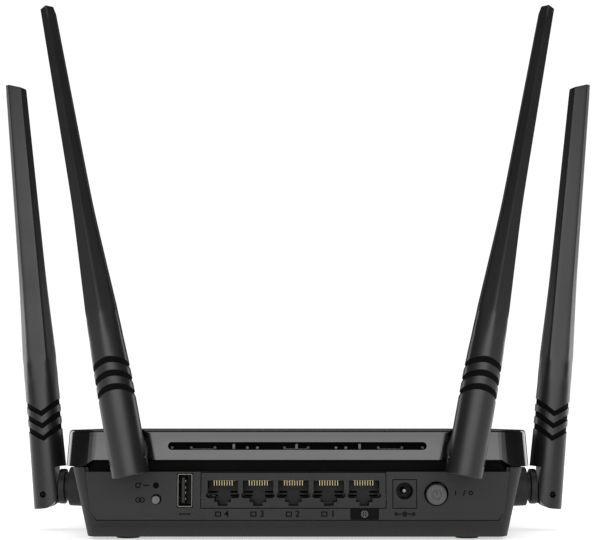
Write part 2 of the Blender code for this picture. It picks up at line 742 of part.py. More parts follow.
def make_shield_can(name, low_x, high_x, low_y, high_y):
    low = Vector((low_x, REAR_Y + low_y, PART_Z))
    high = Vector((high_x, REAR_Y + high_y, PART_Z + 0.0028))
    can = box_part(name, low, high, tin_can, 0.0004)
    sheet = Vector((0.0003, 0.0003, 0))
    hollow = bmesh.new()
    add_box(hollow, low + sheet - Vector((0, 0, 0.001)), high - sheet - Vector((0, 0, 0.0003)))
    return cut(can, hollow, f"{name}_inside")


def make_heat_sink(centre_x, centre_y):
    """A plate with upright fins over the main chip."""
    y = REAR_Y + centre_y
    chip_top = PART_Z + 0.0014
    half = 0.0085
    low = (centre_x - half, y - half, PART_Z)
    box_part("main_chip", low, (centre_x + half, y + half, chip_top), chip_black)
    base = chip_top + GAP
    shape = bmesh.new()
    add_box(shape, (centre_x - 0.014, y - 0.014, base), (centre_x + 0.014, y + 0.014, base + 0.0016))
    sink = object_of(shape, "heat_sink", router, sink_metal)
    fins = bmesh.new()
    for i in range(8):
        x = centre_x + 0.0038 * (i - 3.5)
        add_box(fins, (x - 0.0005, y - 0.014, base + 0.001), (x + 0.0005, y + 0.014, base + 0.0090))
    return join(sink, fins, "heat_sink_fins")


def make_board_parts():
    make_heat_sink(0.0, 0.060)
    low = (0.020, REAR_Y + 0.054, PART_Z)
    box_part("memory_chip", low, (0.031, REAR_Y + 0.066, PART_Z + 0.0011), chip_black)
    make_shield_can("shield_can_left", -0.058, -0.026, 0.052, 0.078)
    make_shield_can("shield_can_right", 0.036, 0.060, 0.052, 0.078)
    for side, name in ((-1, "lan_transformer_left"), (1, "lan_transformer_right")):
        x = LAN_CENTRE_X + side * 0.0175
        low = (x - 0.0140, REAR_Y + 0.0260, PART_Z)
        box_part(name, low, (x + 0.0140, REAR_Y + 0.0350, PART_Z + 0.0055), chip_black, 0.0005)
    for i, x in enumerate((0.0440, 0.0550)):
        shape = bmesh.new()
        add_rod(shape, (x, REAR_Y + 0.0270, PART_Z), (x, REAR_Y + 0.0270, PART_Z + 0.0110), 0.0040, 16)
        can = object_of(shape, f"power_capacitor_{i + 1}", router, sleeve_black)
        smooth(soften(can, 0.0004))
    low = (0.0390, REAR_Y + 0.0360, PART_Z)
    box_part("power_inductor", low, (0.0465, REAR_Y + 0.0435, PART_Z + 0.0040), ferrite_grey, 0.0010)


# ---- Antennas, in the hinge's own frame: +X outwards from the body, +Y along the pin, +Z up ----


def antenna_ring(z, centre_x, half_s, half_p, hexagon, slant=0.0):
    """A section at a height: round at hexagon 0, six-sided with ridges at both ends at hexagon 1."""
    corner_share = 0.57
    points = []
    sixth = SECTION_SIDES // 6
    corners = [(1, 0), (corner_share, 1), (-corner_share, 1)]
    corners += [(-x, -y) for x, y in corners]
    for i in range(SECTION_SIDES):
        angle = 2 * math.pi * i / SECTION_SIDES
        part, step = divmod(i, sixth)
        start, end = corners[part], corners[(part + 1) % 6]
        share = step / sixth
        flat_x = start[0] + (end[0] - start[0]) * share
        flat_y = start[1] + (end[1] - start[1]) * share
        x = half_s * (math.cos(angle) * (1 - hexagon) + flat_x * hexagon)
        y = half_p * (math.sin(angle) * (1 - hexagon) + flat_y * hexagon)
        points.append((centre_x + x, y, z + slant * (x / half_s)))
    return points


def width_along_swivel(z):
    return BASE_S + (TIP_S - BASE_S) * (z + ANTENNA_BELOW_PIN) / ANTENNA_LENGTH


def width_along_pin(z):
    """Round stock up to ROUND_TOP, then a quick taper to the waist and a slow one to the tip."""
    if z <= ROUND_TOP:
        return ROUND_P
    if z <= WAIST:
        return ROUND_P + (WAIST_P - ROUND_P) * (z - ROUND_TOP) / (WAIST - ROUND_TOP)
    return WAIST_P + (TIP_P - WAIST_P) * (z - WAIST) / (ANTENNA_TOP - WAIST)


def hexagon_share(z):
    share = min(max((z - ROUND_TOP) / (WAIST - ROUND_TOP), 0.0), 1.0)
    return share * share * (3 - 2 * share)


def shell_section(z, inset=0.0, slant=0.0):
    half_s = width_along_swivel(z) / 2 - inset
    half_p = width_along_pin(z) / 2 - inset
    return antenna_ring(z, ANTENNA_AXIS_SHIFT, half_s, half_p, hexagon_share(z), slant)


def antenna_shell_mesh():
    """The hollow antenna. Its foot is a clevis that is open towards the body and downwards."""
    shape = bmesh.new()
    heights = [-ANTENNA_BELOW_PIN + 0.0006, ROUND_TOP]
    heights += [ROUND_TOP + (WAIST - ROUND_TOP) * i / 5 for i in range(1, 6)]
    foot = antenna_ring(
        -ANTENNA_BELOW_PIN, ANTENNA_AXIS_SHIFT, BASE_S / 2 - 0.0006, ROUND_P / 2 - 0.0006, 0.0
    )
    tip_z = ANTENNA_TOP - TIP_SLANT / 2
    add_loft(shape, [foot, *[shell_section(z) for z in heights], shell_section(tip_z, 0.0, TIP_SLANT / 2)])
    shell = object_of(shape, "antenna_pattern", router, antenna_black)

    cavity = bmesh.new()
    throat = [antenna_ring(z, -0.0004, 0.0034, 0.0026, 0.0) for z in (0.0020, 0.0120)]
    inner_heights = [0.0170, ROUND_TOP, 0.060, WAIST, ANTENNA_TOP - 0.0080]
    add_loft(cavity, throat + [shell_section(z, 0.0013) for z in inner_heights])
    cut(shell, cavity, "antenna_cavity")

    # The side towards the body is cut back round the swivel disc, and the heel turns about the pin.
    notch = bmesh.new()
    add_box(notch, (-0.0200, -0.0200, -0.0100), (-0.0060, 0.0200, 0.0112))
    cut(shell, notch, "disc_notch")
    heel = bmesh.new()
    heel_outline = [(-0.0100, 0.0), (-0.0100, -0.0100), (0.0, -0.0100)]
    for step in range(7):
        angle = -math.pi / 2 - math.pi / 2 * step / 6
        heel_outline.append((0.0060 * math.cos(angle), 0.0060 * math.sin(angle)))
    add_prism(heel, heel_outline, -0.0200, 0.0200)
    cut(shell, heel, "round_heel")
    slot = bmesh.new()
    half = TONGUE_THICKNESS / 2 + GAP
    add_box(slot, (-0.0150, -half, -0.0100), (0.0041, half, 0.0044))
    cut(shell, slot, "tongue_slot")
    hole = bmesh.new()
    add_rod(hole, (0, -0.0100, 0), (0, 0.0100, 0), PIN_HOLE_RADIUS, 16)
    cut(shell, hole, "pin_hole")
    return finished_mesh(smooth(shell))


def swivel_mesh():
    """Disc, shaft and collar turned about X, with the tongue that the pin passes through."""
    shape = bmesh.new()
    profile = (
        (-0.0173, 0.0040),
        (-0.0165, COLLAR_RADIUS),
        (-0.0150, COLLAR_RADIUS),
        (-0.0150, SHAFT_RADIUS),
        (GAP, SHAFT_RADIUS),
        (GAP, 0.0060),
        (DISC_START, 0.0060),
        (DISC_START, DISC_RADIUS - 0.0005),
        (DISC_START + 0.0005, DISC_RADIUS),
        (DISC_END - 0.0005, DISC_RADIUS),
        (DISC_END, DISC_RADIUS - 0.0005),
    )
    sides = 20
    rings = []
    for x, radius in profile:
        ring = []
        for i in range(sides):
            angle = 2 * math.pi * i / sides
            ring.append((x, radius * math.cos(angle), radius * math.sin(angle)))
        rings.append(ring)
    add_loft(shape, rings)
    swivel = object_of(shape, "swivel_pattern", router, hinge_black)
    tongue = bmesh.new()
    half = TONGUE_THICKNESS / 2
    outline = [(DISC_END - 0.001, -PIN_DROP + side * TONGUE_RADIUS) for side in (1, -1)]
    for step in range(9):
        angle = -math.pi / 2 + math.pi * step / 8
        x = PIN_OUT + TONGUE_RADIUS * math.cos(angle)
        outline.append((x, -PIN_DROP + TONGUE_RADIUS * math.sin(angle)))
    add_prism(tongue, outline, -half, half)
    join(swivel, tongue, "swivel_tongue")
    holes = bmesh.new()
    add_rod(holes, (PIN_OUT, -0.01, -PIN_DROP), (PIN_OUT, 0.01, -PIN_DROP), PIN_HOLE_RADIUS, 16)
    cut(swivel, holes, "tongue_pin_hole")
    passage = bmesh.new()
    add_rod(passage, (-0.0200, 0, 0), (PIN_OUT + 0.008, 0, 0), 0.0012, 8)
    cut(swivel, passage, "cable_passage")
    return finished_mesh(smooth(swivel))


def pin_mesh():
    shape = bmesh.new()
    reach = 0.0062
    add_rod(shape, (0, -reach, 0), (0, reach, 0), PIN_RADIUS, 12)
    pin = object_of(shape, "pin_pattern", router, pin_steel)
    return finished_mesh(smooth(soften(pin, 0.0002)))


def element_mesh():
    """The radiating strip, with the metal sleeve at its foot."""
    shape = bmesh.new()
    x = ANTENNA_AXIS_SHIFT
    add_box(shape, (x - 0.0024, -0.0004, 0.0300), (x + 0.0024, 0.0004, 0.1640))
    element = object_of(shape, "element_pattern", router, board_green)
    sleeve = bmesh.new()
    add_rod(sleeve, (x, 0, 0.0180), (x, 0, 0.0420), 0.0018, 8)
    return finished_mesh(join(element, sleeve, "element_sleeve"))


def placed(name, mesh, parent):
    obj = bpy.data.objects.new(name, mesh)
    router.objects.link(obj)
    obj.parent = parent
    return obj


def axis_empty(name, location, turn, parent=None):
    """An empty on a joint's axis, which the moving pieces hang from."""
    empty = bpy.data.objects.new(name, None)
    empty.empty_display_size = 0.01
    router.objects.link(empty)
    empty.parent = parent
    empty.matrix_basis = Matrix.Translation(location) @ turn.to_4x4()
    return empty


def make_antennas():
    shell, swivel, pin, element = antenna_shell_mesh(), swivel_mesh(), pin_mesh(), element_mesh()
    rear_face = REAR_Y - BOSS_OUT_REAR
    hinges = {
        "side_left": ((-SIDE_BOSS_FACE_X, SIDE_HINGE_Y, SIDE_HINGE_Z), math.pi, 0.0, SIDE_LEAN),
        "side_right": ((SIDE_BOSS_FACE_X, SIDE_HINGE_Y, SIDE_HINGE_Z), 0.0, 0.0, SIDE_LEAN),
        "rear_left": ((-REAR_HINGE_X, rear_face, REAR_HINGE_Z), -math.pi / 2, REAR_LEAN, 0.0),
        "rear_right": ((REAR_HINGE_X, rear_face, REAR_HINGE_Z), -math.pi / 2, -REAR_LEAN, 0.0),
    }
    for name, (face, heading, swivel_angle, tilt_angle) in hinges.items():
        outwards = Matrix.Rotation(heading, 3, "Z") @ Matrix.Rotation(swivel_angle, 3, "X")
        swivel_axis = axis_empty(f"swivel_axis_{name}", face, outwards)
        tilt = Matrix.Rotation(tilt_angle, 3, "Y")
        tilt_axis = axis_empty(f"tilt_axis_{name}", (PIN_OUT, 0, -PIN_DROP), tilt, swivel_axis)
        placed(f"swivel_{name}", swivel, swivel_axis)
        placed(f"antenna_{name}", shell, tilt_axis)
        placed(f"hinge_pin_{name}", pin, tilt_axis)
        placed(f"radiator_{name}", element, tilt_axis)


def make_coax_leads():
    """A thin lead from the board to the inner end of each swivel."""
    inner = SIDE_BOSS_FACE_X - 0.0181
    rear_inner = REAR_Y - BOSS_OUT_REAR + 0.0181
    plug_z = PART_Z + 0.0012
    for side, word in ((-1, "left"), (1, "right")):
        side_route = [
            (side * 0.0640, REAR_Y + 0.068, plug_z),
            (side * 0.0700, REAR_Y + 0.067, 0.0180),
            (side * 0.0760, REAR_Y + 0.059, 0.0190),
            (side * inner, SIDE_HINGE_Y, SIDE_HINGE_Z),
        ]
        rear_route = [
            (side * 0.0640, REAR_Y + 0.048, plug_z),
            (side * 0.0640, REAR_Y + 0.042, 0.0190),
            (side * 0.0645, REAR_Y + 0.028, 0.0290),
            (side * REAR_HINGE_X, rear_inner + 0.006, 0.0345),
            (side * REAR_HINGE_X, rear_inner, REAR_HINGE_Z),
        ]
        make_lead(f"coax_side_{word}", side_route)
        make_lead(f"coax_rear_{word}", rear_route)


def make_lead(name, route):
    curve = bpy.data.curves.new(name, "CURVE")
    curve.dimensions = "3D"
    curve.bevel_depth = 0.0007
    curve.bevel_resolution = 1
    curve.use_fill_caps = True
    points = [Vector(point) for point in route]
    line = smooth_route(points, 3)
    spline = curve.splines.new("POLY")
    spline.points.add(len(line) - 1)
    for point, place in zip(spline.points, line):
        point.co = (*place, 1.0)
    curve.materials.append(coax_grey)
    lead = bpy.data.objects.new(name, curve)
    router.objects.link(lead)
    return lead


def smooth_route(points, steps):
    """Points along a smooth curve that passes through each given point."""
    line = []
    for i in range(len(points) - 1):
        before = points[max(i - 1, 0)]
        start, end = points[i], points[i + 1]
        after = points[min(i + 2, len(points) - 1)]
        for step in range(steps):
            t = step / steps
            bend = (2 * before - 5 * start + 4 * end - after) * t * t
            twist = (3 * start - before - 3 * end + after) * t * t * t
            line.append((2 * start + (end - before) * t + bend + twist) / 2)
    return line + [points[-1]]


make_bottom_housing()
make_rear_panel()
make_top_cover()
make_light_pipe()
make_feet_and_screws()
make_lan_sockets()
make_usb_socket()
make_dc_jack()
make_power_switch()
make_keys()
make_circuit_board()
make_board_parts()
make_antennas()
make_coax_leads()
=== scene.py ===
import json
import math
import bmesh
import bpy
from mathutils import Matrix, Vector


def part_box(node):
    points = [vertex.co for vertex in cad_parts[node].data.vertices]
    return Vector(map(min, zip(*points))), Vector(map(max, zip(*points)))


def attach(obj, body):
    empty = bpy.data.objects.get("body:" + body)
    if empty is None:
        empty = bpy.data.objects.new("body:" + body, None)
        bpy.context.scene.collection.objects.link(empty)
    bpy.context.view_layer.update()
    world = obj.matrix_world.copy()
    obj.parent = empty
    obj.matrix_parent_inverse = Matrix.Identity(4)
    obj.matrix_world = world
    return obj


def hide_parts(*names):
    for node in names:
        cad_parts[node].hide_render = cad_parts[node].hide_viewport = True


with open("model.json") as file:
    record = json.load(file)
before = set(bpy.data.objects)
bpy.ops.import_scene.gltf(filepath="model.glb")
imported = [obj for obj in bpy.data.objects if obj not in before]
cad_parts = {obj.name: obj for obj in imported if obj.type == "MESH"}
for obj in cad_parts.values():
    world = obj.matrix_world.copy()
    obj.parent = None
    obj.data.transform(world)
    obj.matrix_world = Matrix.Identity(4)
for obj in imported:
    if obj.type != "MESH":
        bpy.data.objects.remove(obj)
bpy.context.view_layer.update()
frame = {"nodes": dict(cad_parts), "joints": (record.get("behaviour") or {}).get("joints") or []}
joints = {joint["name"]: joint for joint in frame["joints"]}
nodes = frame["nodes"]
print("frame loaded:", len(nodes), "CAD nodes")

# Places that several pieces share, read from the frame. The port side faces -Y.
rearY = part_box("rear_panel")[0].y
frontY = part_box("top_cover")[1].y
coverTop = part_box("top_cover")[1].z
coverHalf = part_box("top_cover")[1].x
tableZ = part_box("foot_rear_left")[0].z
sides = {"left": -1, "right": 1}
near = 0.0001  # how close a point lies to a plane to count as on it
past = 0.001  # how far a cutter reaches past the face that it opens


def deselectAll():
    bpy.ops.object.select_all(action="DESELECT")


def activate(piece):
    deselectAll()
    piece.select_set(True)
    bpy.context.view_layer.objects.active = piece
    return piece


def applyPlace(piece):
    activate(piece)
    bpy.ops.object.transform_apply(location=True, rotation=True, scale=True)
    return piece


def newest(name):
    piece = bpy.context.active_object
    piece.name = name
    piece.data.name = name
    return applyPlace(piece)


def addBox(name, low, high):
    low, high = Vector(low), Vector(high)
    deselectAll()
    bpy.ops.mesh.primitive_cube_add(size=1, location=(low + high) / 2, scale=high - low)
    return newest(name)


def addRod(name, start, end, radius, sidesRound=48, endRadius=None):
    start, end = Vector(start), Vector(end)
    along = end - start
    deselectAll()
    bpy.ops.mesh.primitive_cone_add(
        vertices=sidesRound,
        radius1=radius,
        radius2=radius if endRadius is None else endRadius,
        depth=along.length,
        location=(start + end) / 2,
        rotation=along.to_track_quat("Z", "Y").to_euler(),
    )
    return newest(name)


def pick(piece, kind, test):
    bpy.ops.mesh.select_mode(type=kind)
    bpy.ops.mesh.select_all(action="DESELECT")
    shape = bmesh.from_edit_mesh(piece.data)
    for part in {"VERT": shape.verts, "EDGE": shape.edges, "FACE": shape.faces}[kind]:
        if test(part):
            part.select_set(True)
    shape.select_flush_mode()
    bmesh.update_edit_mesh(piece.data)


def editing(piece):
    activate(piece)
    bpy.ops.object.mode_set(mode="EDIT")


def doneEditing():
    bpy.ops.object.mode_set(mode="OBJECT")


def middle(edge):
    return (edge.verts[0].co + edge.verts[1].co) / 2


def runsAlong(edge, axis):
    run = (edge.verts[1].co - edge.verts[0].co).normalized()
    return abs(run[axis]) > 0.999


def rimAt(axis, place):
    # Picks the edges round a rod's end, at one place along its axis.
    return lambda edge: abs(middle(edge)[axis] - place) < near and not runsAlong(edge, axis)


def bevelEdges(piece, width, segments, test):
    editing(piece)
    pick(piece, "EDGE", test)
    bpy.ops.mesh.bevel(offset=width, segments=segments, profile=0.5, affect="EDGES")
    doneEditing()
    return piece


def moveVerts(piece, shift, test):
    editing(piece)
    pick(piece, "VERT", test)
    bpy.ops.transform.translate(value=shift)
    doneEditing()
    return piece


def resizeVerts(piece, factors, centre, test):
    editing(piece)
    pick(piece, "VERT", test)
    bpy.ops.transform.resize(value=factors, center_override=centre)
    doneEditing()
    return piece


def applyModifier(piece, modifier):
    activate(piece)
    bpy.ops.object.modifier_apply(modifier=modifier.name)
    return piece


def combine(piece, other, operation):
    step = piece.modifiers.new("combine", "BOOLEAN")
    step.operation = operation
    step.solver = "EXACT"
    step.object = other
    applyModifier(piece, step)
    bpy.data.objects.remove(other, do_unlink=True)
    return piece


def carve(piece, cutter):
    return combine(piece, cutter, "DIFFERENCE")


def weldOn(piece, other):
    return combine(piece, other, "UNION")


def joinAll(name, parts):
    activate(parts[0])
    for part in parts:
        part.select_set(True)
    bpy.ops.object.join()
    return newest(name)


def softEdges(piece, width, segments=2, angle=35):
    step = piece.modifiers.new("edges", "BEVEL")
    step.width = width
    step.segments = segments
    step.limit_method = "ANGLE"
    step.angle_limit = math.radians(angle)
    step.miter_outer = "MITER_ARC"
    return applyModifier(piece, step)


def shadeRound(piece, angle=32):
    # Broad flats keep their own direction, so that a narrow rounded edge doesn't tint them.
    activate(piece)
    bpy.ops.object.shade_smooth_by_angle(angle=math.radians(angle))
    step = piece.modifiers.new("flats", "WEIGHTED_NORMAL")
    step.keep_sharp = True
    return applyModifier(piece, step)


def copyOf(piece, name, matrix):
    copied = piece.copy()
    copied.data = piece.data.copy()
    copied.name = name
    copied.data.name = name
    bpy.context.scene.collection.objects.link(copied)
    copied.data.transform(matrix)
    return copied


def show(piece, body, finish, slotName, *stoodFor):
    piece.data.materials.clear()
    piece.data.materials.append(finish)
    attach(piece, body)
    if stoodFor:
        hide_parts(*stoodFor)
    return piece


def linearColour(hexValue):
    channels = [int(hexValue[i : i + 2], 16) / 255 for i in (1, 3, 5)]
    return tuple(c / 12.92 if c <= 0.04045 else ((c + 0.055) / 1.055) ** 2.4 for c in channels) + (1.0,)


def addNode(tree, kind, settings=None, links=None):
    node = tree.nodes.new(kind)
    for key, value in (settings or {}).items():
        if key in node.inputs:
            node.inputs[key].default_value = value
        else:
            setattr(node, key, value)
    for key, source in (links or {}).items():
        tree.links.new(source, node.inputs[key])
    return node


def newMaterial(name, shaderValues):
    finish = bpy.data.materials.new(name)
    finish.use_nodes = True
    shader = finish.node_tree.nodes["Principled BSDF"]
    for key, value in shaderValues.items():
        shader.inputs[key].default_value = value
    return finish, finish.node_tree, shader


def grainBump(tree, shader, grainMm, depthMm, strength=1.0, detail=2.0):
    place = addNode(tree, "ShaderNodeTexCoord")
    noise = addNode(
        tree,
        "ShaderNodeTexNoise",
        {"Scale": 1000 / grainMm, "Detail": detail, "Roughness": 0.6},
        {"Vector": place.outputs["Object"]},
    )
    bump = addNode(
        tree,
        "ShaderNodeBump",
        {"Strength": strength, "Distance": depthMm / 1000},
        {"Height": noise.outputs["Fac"]},
    )
    tree.links.new(bump.outputs["Normal"], shader.inputs["Normal"])
    return place, noise


def mottled(tree, shader, place, noise, light, dark, smoothest, roughest):
    tint = addNode(tree, "ShaderNodeValToRGB", {}, {"Fac": noise.outputs["Fac"]})
    tint.color_ramp.elements[0].position = 0.35
    tint.color_ramp.elements[1].position = 0.65
    tint.color_ramp.elements[0].color = linearColour(dark)
    tint.color_ramp.elements[1].color = linearColour(light)
    tree.links.new(tint.outputs["Color"], shader.inputs["Base Color"])
    # Patches about 17 mm across shine a little more or less, as handled plastic does.
    patches = {"Scale": 60.0, "Detail": 3.0}
    broad = addNode(tree, "ShaderNodeTexNoise", patches, {"Vector": place.outputs["Object"]})
    spread = addNode(
        tree,
        "ShaderNodeMapRange",
        {"From Min": 0.3, "From Max": 0.7, "To Min": smoothest, "To Max": roughest},
        {"Value": broad.outputs["Fac"]},
    )
    tree.links.new(spread.outputs["Result"], shader.inputs["Roughness"])


def mouldedPlastic(name, light, dark, smoothest, roughest, grainMm, depthMm, ior=1.53, specular=0.5):
    finish, tree, shader = newMaterial(name, {"IOR": ior, "Specular IOR Level": specular})
    place, noise = grainBump(tree, shader, grainMm, depthMm)
    mottled(tree, shader, place, noise, light, dark, smoothest, roughest)
    return finish


def platedMetal(name, colour, roughness, brushedMm):
    finish, tree, shader = newMaterial(name, {"Metallic": 1.0, "Roughness": roughness})
    noise = grainBump(tree, shader, brushedMm, 0.004)[1]
    tint = addNode(tree, "ShaderNodeValToRGB", {}, {"Fac": noise.outputs["Fac"]})
    base = linearColour(colour)
    tint.color_ramp.elements[0].color = tuple(c * 0.82 for c in base[:3]) + (1.0,)
    tint.color_ramp.elements[1].color = base
    tree.links.new(tint.outputs["Color"], shader.inputs["Base Color"])
    return finish


# Each plastic has its light and dark tint, least and most roughness, and the grain's width and depth in mm.
# ABS from a spark-eroded tool: dull, with a fine even grain, 0.1 mm wide and drawn at 0.4 mm to show.
charcoalAbs = mouldedPlastic(
    "sparkTexturedAbs", "#1e1e1e", "#181818", 0.52, 0.60, 0.40, 0.035, specular=0.22
)
# ABS from a polished tool: mirror-like, with a faint unevenness a few millimetres across.
glossAbs, glossTree, glossShader = newMaterial("polishedAbs", {"IOR": 1.53, "Roughness": 0.07})
glossPlace, glossNoise = grainBump(glossTree, glossShader, 8.0, 0.006, 0.4, 1.0)
mottled(glossTree, glossShader, glossPlace, glossNoise, "#070707", "#050505", 0.09, 0.11)
# Satin ABS of the antennas: a soft sheen along the tube, hardly any grain.
antennaAbs = mouldedPlastic("satinAbs", "#111111", "#0d0d0d", 0.32, 0.38, 0.45, 0.008, specular=0.36)
# Glass-filled nylon of the swivels, dull and even.
hingeNylon = mouldedPlastic(
    "glassFilledNylon", "#181818", "#131313", 0.45, 0.55, 0.35, 0.020, specular=0.24
)
# PBT of the sockets, a little smoother than the panel.
socketPbt = mouldedPlastic("socketPbt", "#191919", "#141414", 0.48, 0.56, 0.50, 0.015, specular=0.22)
# Polyester film over black ink: flat and a little shiny.
labelFilm = mouldedPlastic("labelFilm", "#050505", "#030303", 0.18, 0.22, 2.0, 0.004, specular=0.04)
# Matt black, so it stays dark: painted shade in the antennas' grooves, the seam under the cover, the strip
# between panel and cover and behind the vent's posts. The cover's bosses are matt black too.
mattBlackAndShade = mouldedPlastic(
    "mattElastomer", "#040404", "#020202", 0.80, 0.90, 0.50, 0.010, specular=0.08
)
# ABS of the buttons, mid and pale grey, satin from the touch of fingers. The same two greys are painted
# highlight on the vent's posts and painted shade on its rails.
buttonAbs = mouldedPlastic("buttonAbs", "#3e3e3e", "#363636", 0.42, 0.50, 0.40, 0.012, specular=0.3)
paleAbs = mouldedPlastic("paleGreyAbs", "#525252", "#494949", 0.40, 0.48, 0.40, 0.010, specular=0.3)
# Nylon of the plunger, near-black as painted shade deep in its hole, and dull.
plungerNylon = mouldedPlastic("plungerNylon", "#0c0c0c", "#080808", 0.60, 0.70, 0.40, 0.010, specular=0.1)
# Silicone rubber of the feet: soft black with no shine.
footRubber = mouldedPlastic("siliconeRubber", "#1c1c1c", "#161616", 0.75, 0.88, 0.60, 0.030, 1.41)
# Epoxy round the chips: a flat dark grey with a fine tooth.
chipEpoxy = mouldedPlastic("mouldedEpoxy", "#1d1d1e", "#161617", 0.50, 0.62, 0.30, 0.010)
# Ferrite, pressed and sintered: a stony dark grey.
ferrite = mouldedPlastic("sinteredFerrite", "#3a3a3c", "#2e2e30", 0.60, 0.75, 0.40, 0.030)
# Film shrunk over the capacitors: dark blue and glossy.
sleeveFilm = mouldedPlastic("shrinkSleeve", "#23252e", "#1d1f27", 0.25, 0.35, 1.20, 0.010)
# Fluoropolymer jacket of the leads: smooth mid grey.
coaxJacket = mouldedPlastic("leadJacket", "#6e6e6e", "#646464", 0.40, 0.50, 0.60, 0.008)
# Pad-printed ink, flat black on the grained panel.
inkBlack = mouldedPlastic("padPrintInk", "#030303", "#020202", 0.70, 0.80, 0.50, 0.004, specular=0.05)
# Acrylic of the light guide: pale and shiny, as it looks unlit.
acrylic = mouldedPlastic("clearAcrylic", "#c9d0d0", "#bcc4c4", 0.10, 0.18, 2.00, 0.006, 1.49)
# Solder mask over glass-epoxy: green, glossy, with the weave just showing.
solderMask = mouldedPlastic("solderMask", "#0f5a30", "#0b4a27", 0.28, 0.38, 0.90, 0.012)
# Gold flash over phosphor bronze: pale gold, softly bright.
goldPlate = platedMetal("goldFlash", "#d9c795", 0.34, 0.5)
# Nickel over drawn steel: warm grey, a little blurred.
nickelPlate = platedMetal("nickelPlatedSteel", "#6f6d66", 0.36, 0.4)
# Zinc over the screws' steel: light grey and bright.
zincPlate = platedMetal("zincPlatedSteel", "#b9b9b6", 0.34, 0.4)
# Oxide-blackened steel of the pins: nearly black, with a dull glint.
blackSteel = platedMetal("blackenedSteel", "#141415", 0.55, 0.3)
# Tin over the shield cans' steel: silvery, with faint marks of rolling.
tinPlate = platedMetal("tinPlatedSteel", "#cfcfcb", 0.32, 0.6)
# Anodised aluminium of the heat sink: dark grey, even.
blackAnodised = platedMetal("blackAnodisedAluminium", "#47474a", 0.42, 0.3)
print("materials ready")


cover = {
    "bottom": 0.0287,
    "corner": 0.014,
    "cornerSteps": 16,
    "drawIn": 0.0011,
    "topRound": 0.0012,
    "wall": 0.002,
    "rearWall": 0.0062,
    "hollowBottom": 0.020,
    "edgeRound": 0.00022,
    "shaftHole": 0.0047,
    "bossRadius": 0.0079,
    "bossRound": 0.0004,
    "bossEnd": 0.0061,
    "bossFit": 0.00005,
    "bossSeat": 0.0036,
    "through": 0.009,
}
pocket = {
    "inner": 0.0548,
    "outer": 0.0752,
    "low": 0.0250,
    "high": 0.0450,
    "deep": 0.0040,
    "lean": 0.0040,
    "innerSlope": 0.0042,
    "outerSlope": 0.0010,
}
bandCut = {"half": 0.0878, "low": 0.0270, "high": 0.0314, "deep": 0.010, "taper": 0.922}
slot = {"half": 0.0513, "z": 0.03685, "high": 0.0031}
relief = {"half": 0.0528, "low": 0.0331, "high": 0.0405, "front": 0.0020, "back": 0.0080}
lights = {"count": 9, "pitch": 0.0085, "fromFront": 0.013, "radius": 0.00105, "low": 0.040, "high": 0.045}


def roundedSlab(name, low, high, corner, steps):
    slab = addBox(name, low, high)
    return bevelEdges(slab, corner, steps, lambda edge: runsAlong(edge, 2))


def pocketCutter(side):
    low, high = sorted((side * pocket["inner"], side * pocket["outer"]))
    deep = rearY + pocket["deep"]
    block = addBox("pocket", (low, rearY - 4 * past, pocket["low"]), (high, deep, pocket["high"]))
    halfway = (pocket["inner"] + pocket["outer"]) / 2
    inner = lambda vert: abs(vert.co.x) < halfway
    moveVerts(block, (side * pocket["innerSlope"], 0, 0), lambda vert: inner(vert) and vert.co.y > rearY)
    outer = lambda vert: not inner(vert) and vert.co.y > rearY
    moveVerts(block, (-side * pocket["outerSlope"], 0, 0), outer)
    top = lambda vert: inner(vert) and vert.co.z > pocket["high"] - near
    return moveVerts(block, (side * pocket["lean"], 0, 0), top)


def lightPlaces():
    middleLight = (lights["count"] - 1) / 2
    y = frontY - lights["fromFront"]
    return [(lights["pitch"] * (i - middleLight), y) for i in range(lights["count"])]


def makeBoss(shell, word):
    x, y, z = joints[f"swivel_rear_{word}"]["pos_m"]
    through = rearY + cover["through"]
    seat = (x, rearY + cover["bossSeat"], z)
    carve(shell, addRod("seat", seat, (x, through, z), cover["bossRadius"] + cover["bossFit"], 64))
    end = (x, rearY + cover["bossEnd"], z)
    boss = addRod(f"cover_boss_{word}", (x, y, z), end, cover["bossRadius"], 64)
    bevelEdges(boss, cover["bossRound"], 3, rimAt(1, y))
    carve(boss, addRod("shaft", (x, y - 2 * past, z), (x, through, z), cover["shaftHole"], 48))
    shadeRound(boss, 30)
    show(boss, "casing", mattBlackAndShade, "matte_charcoal")


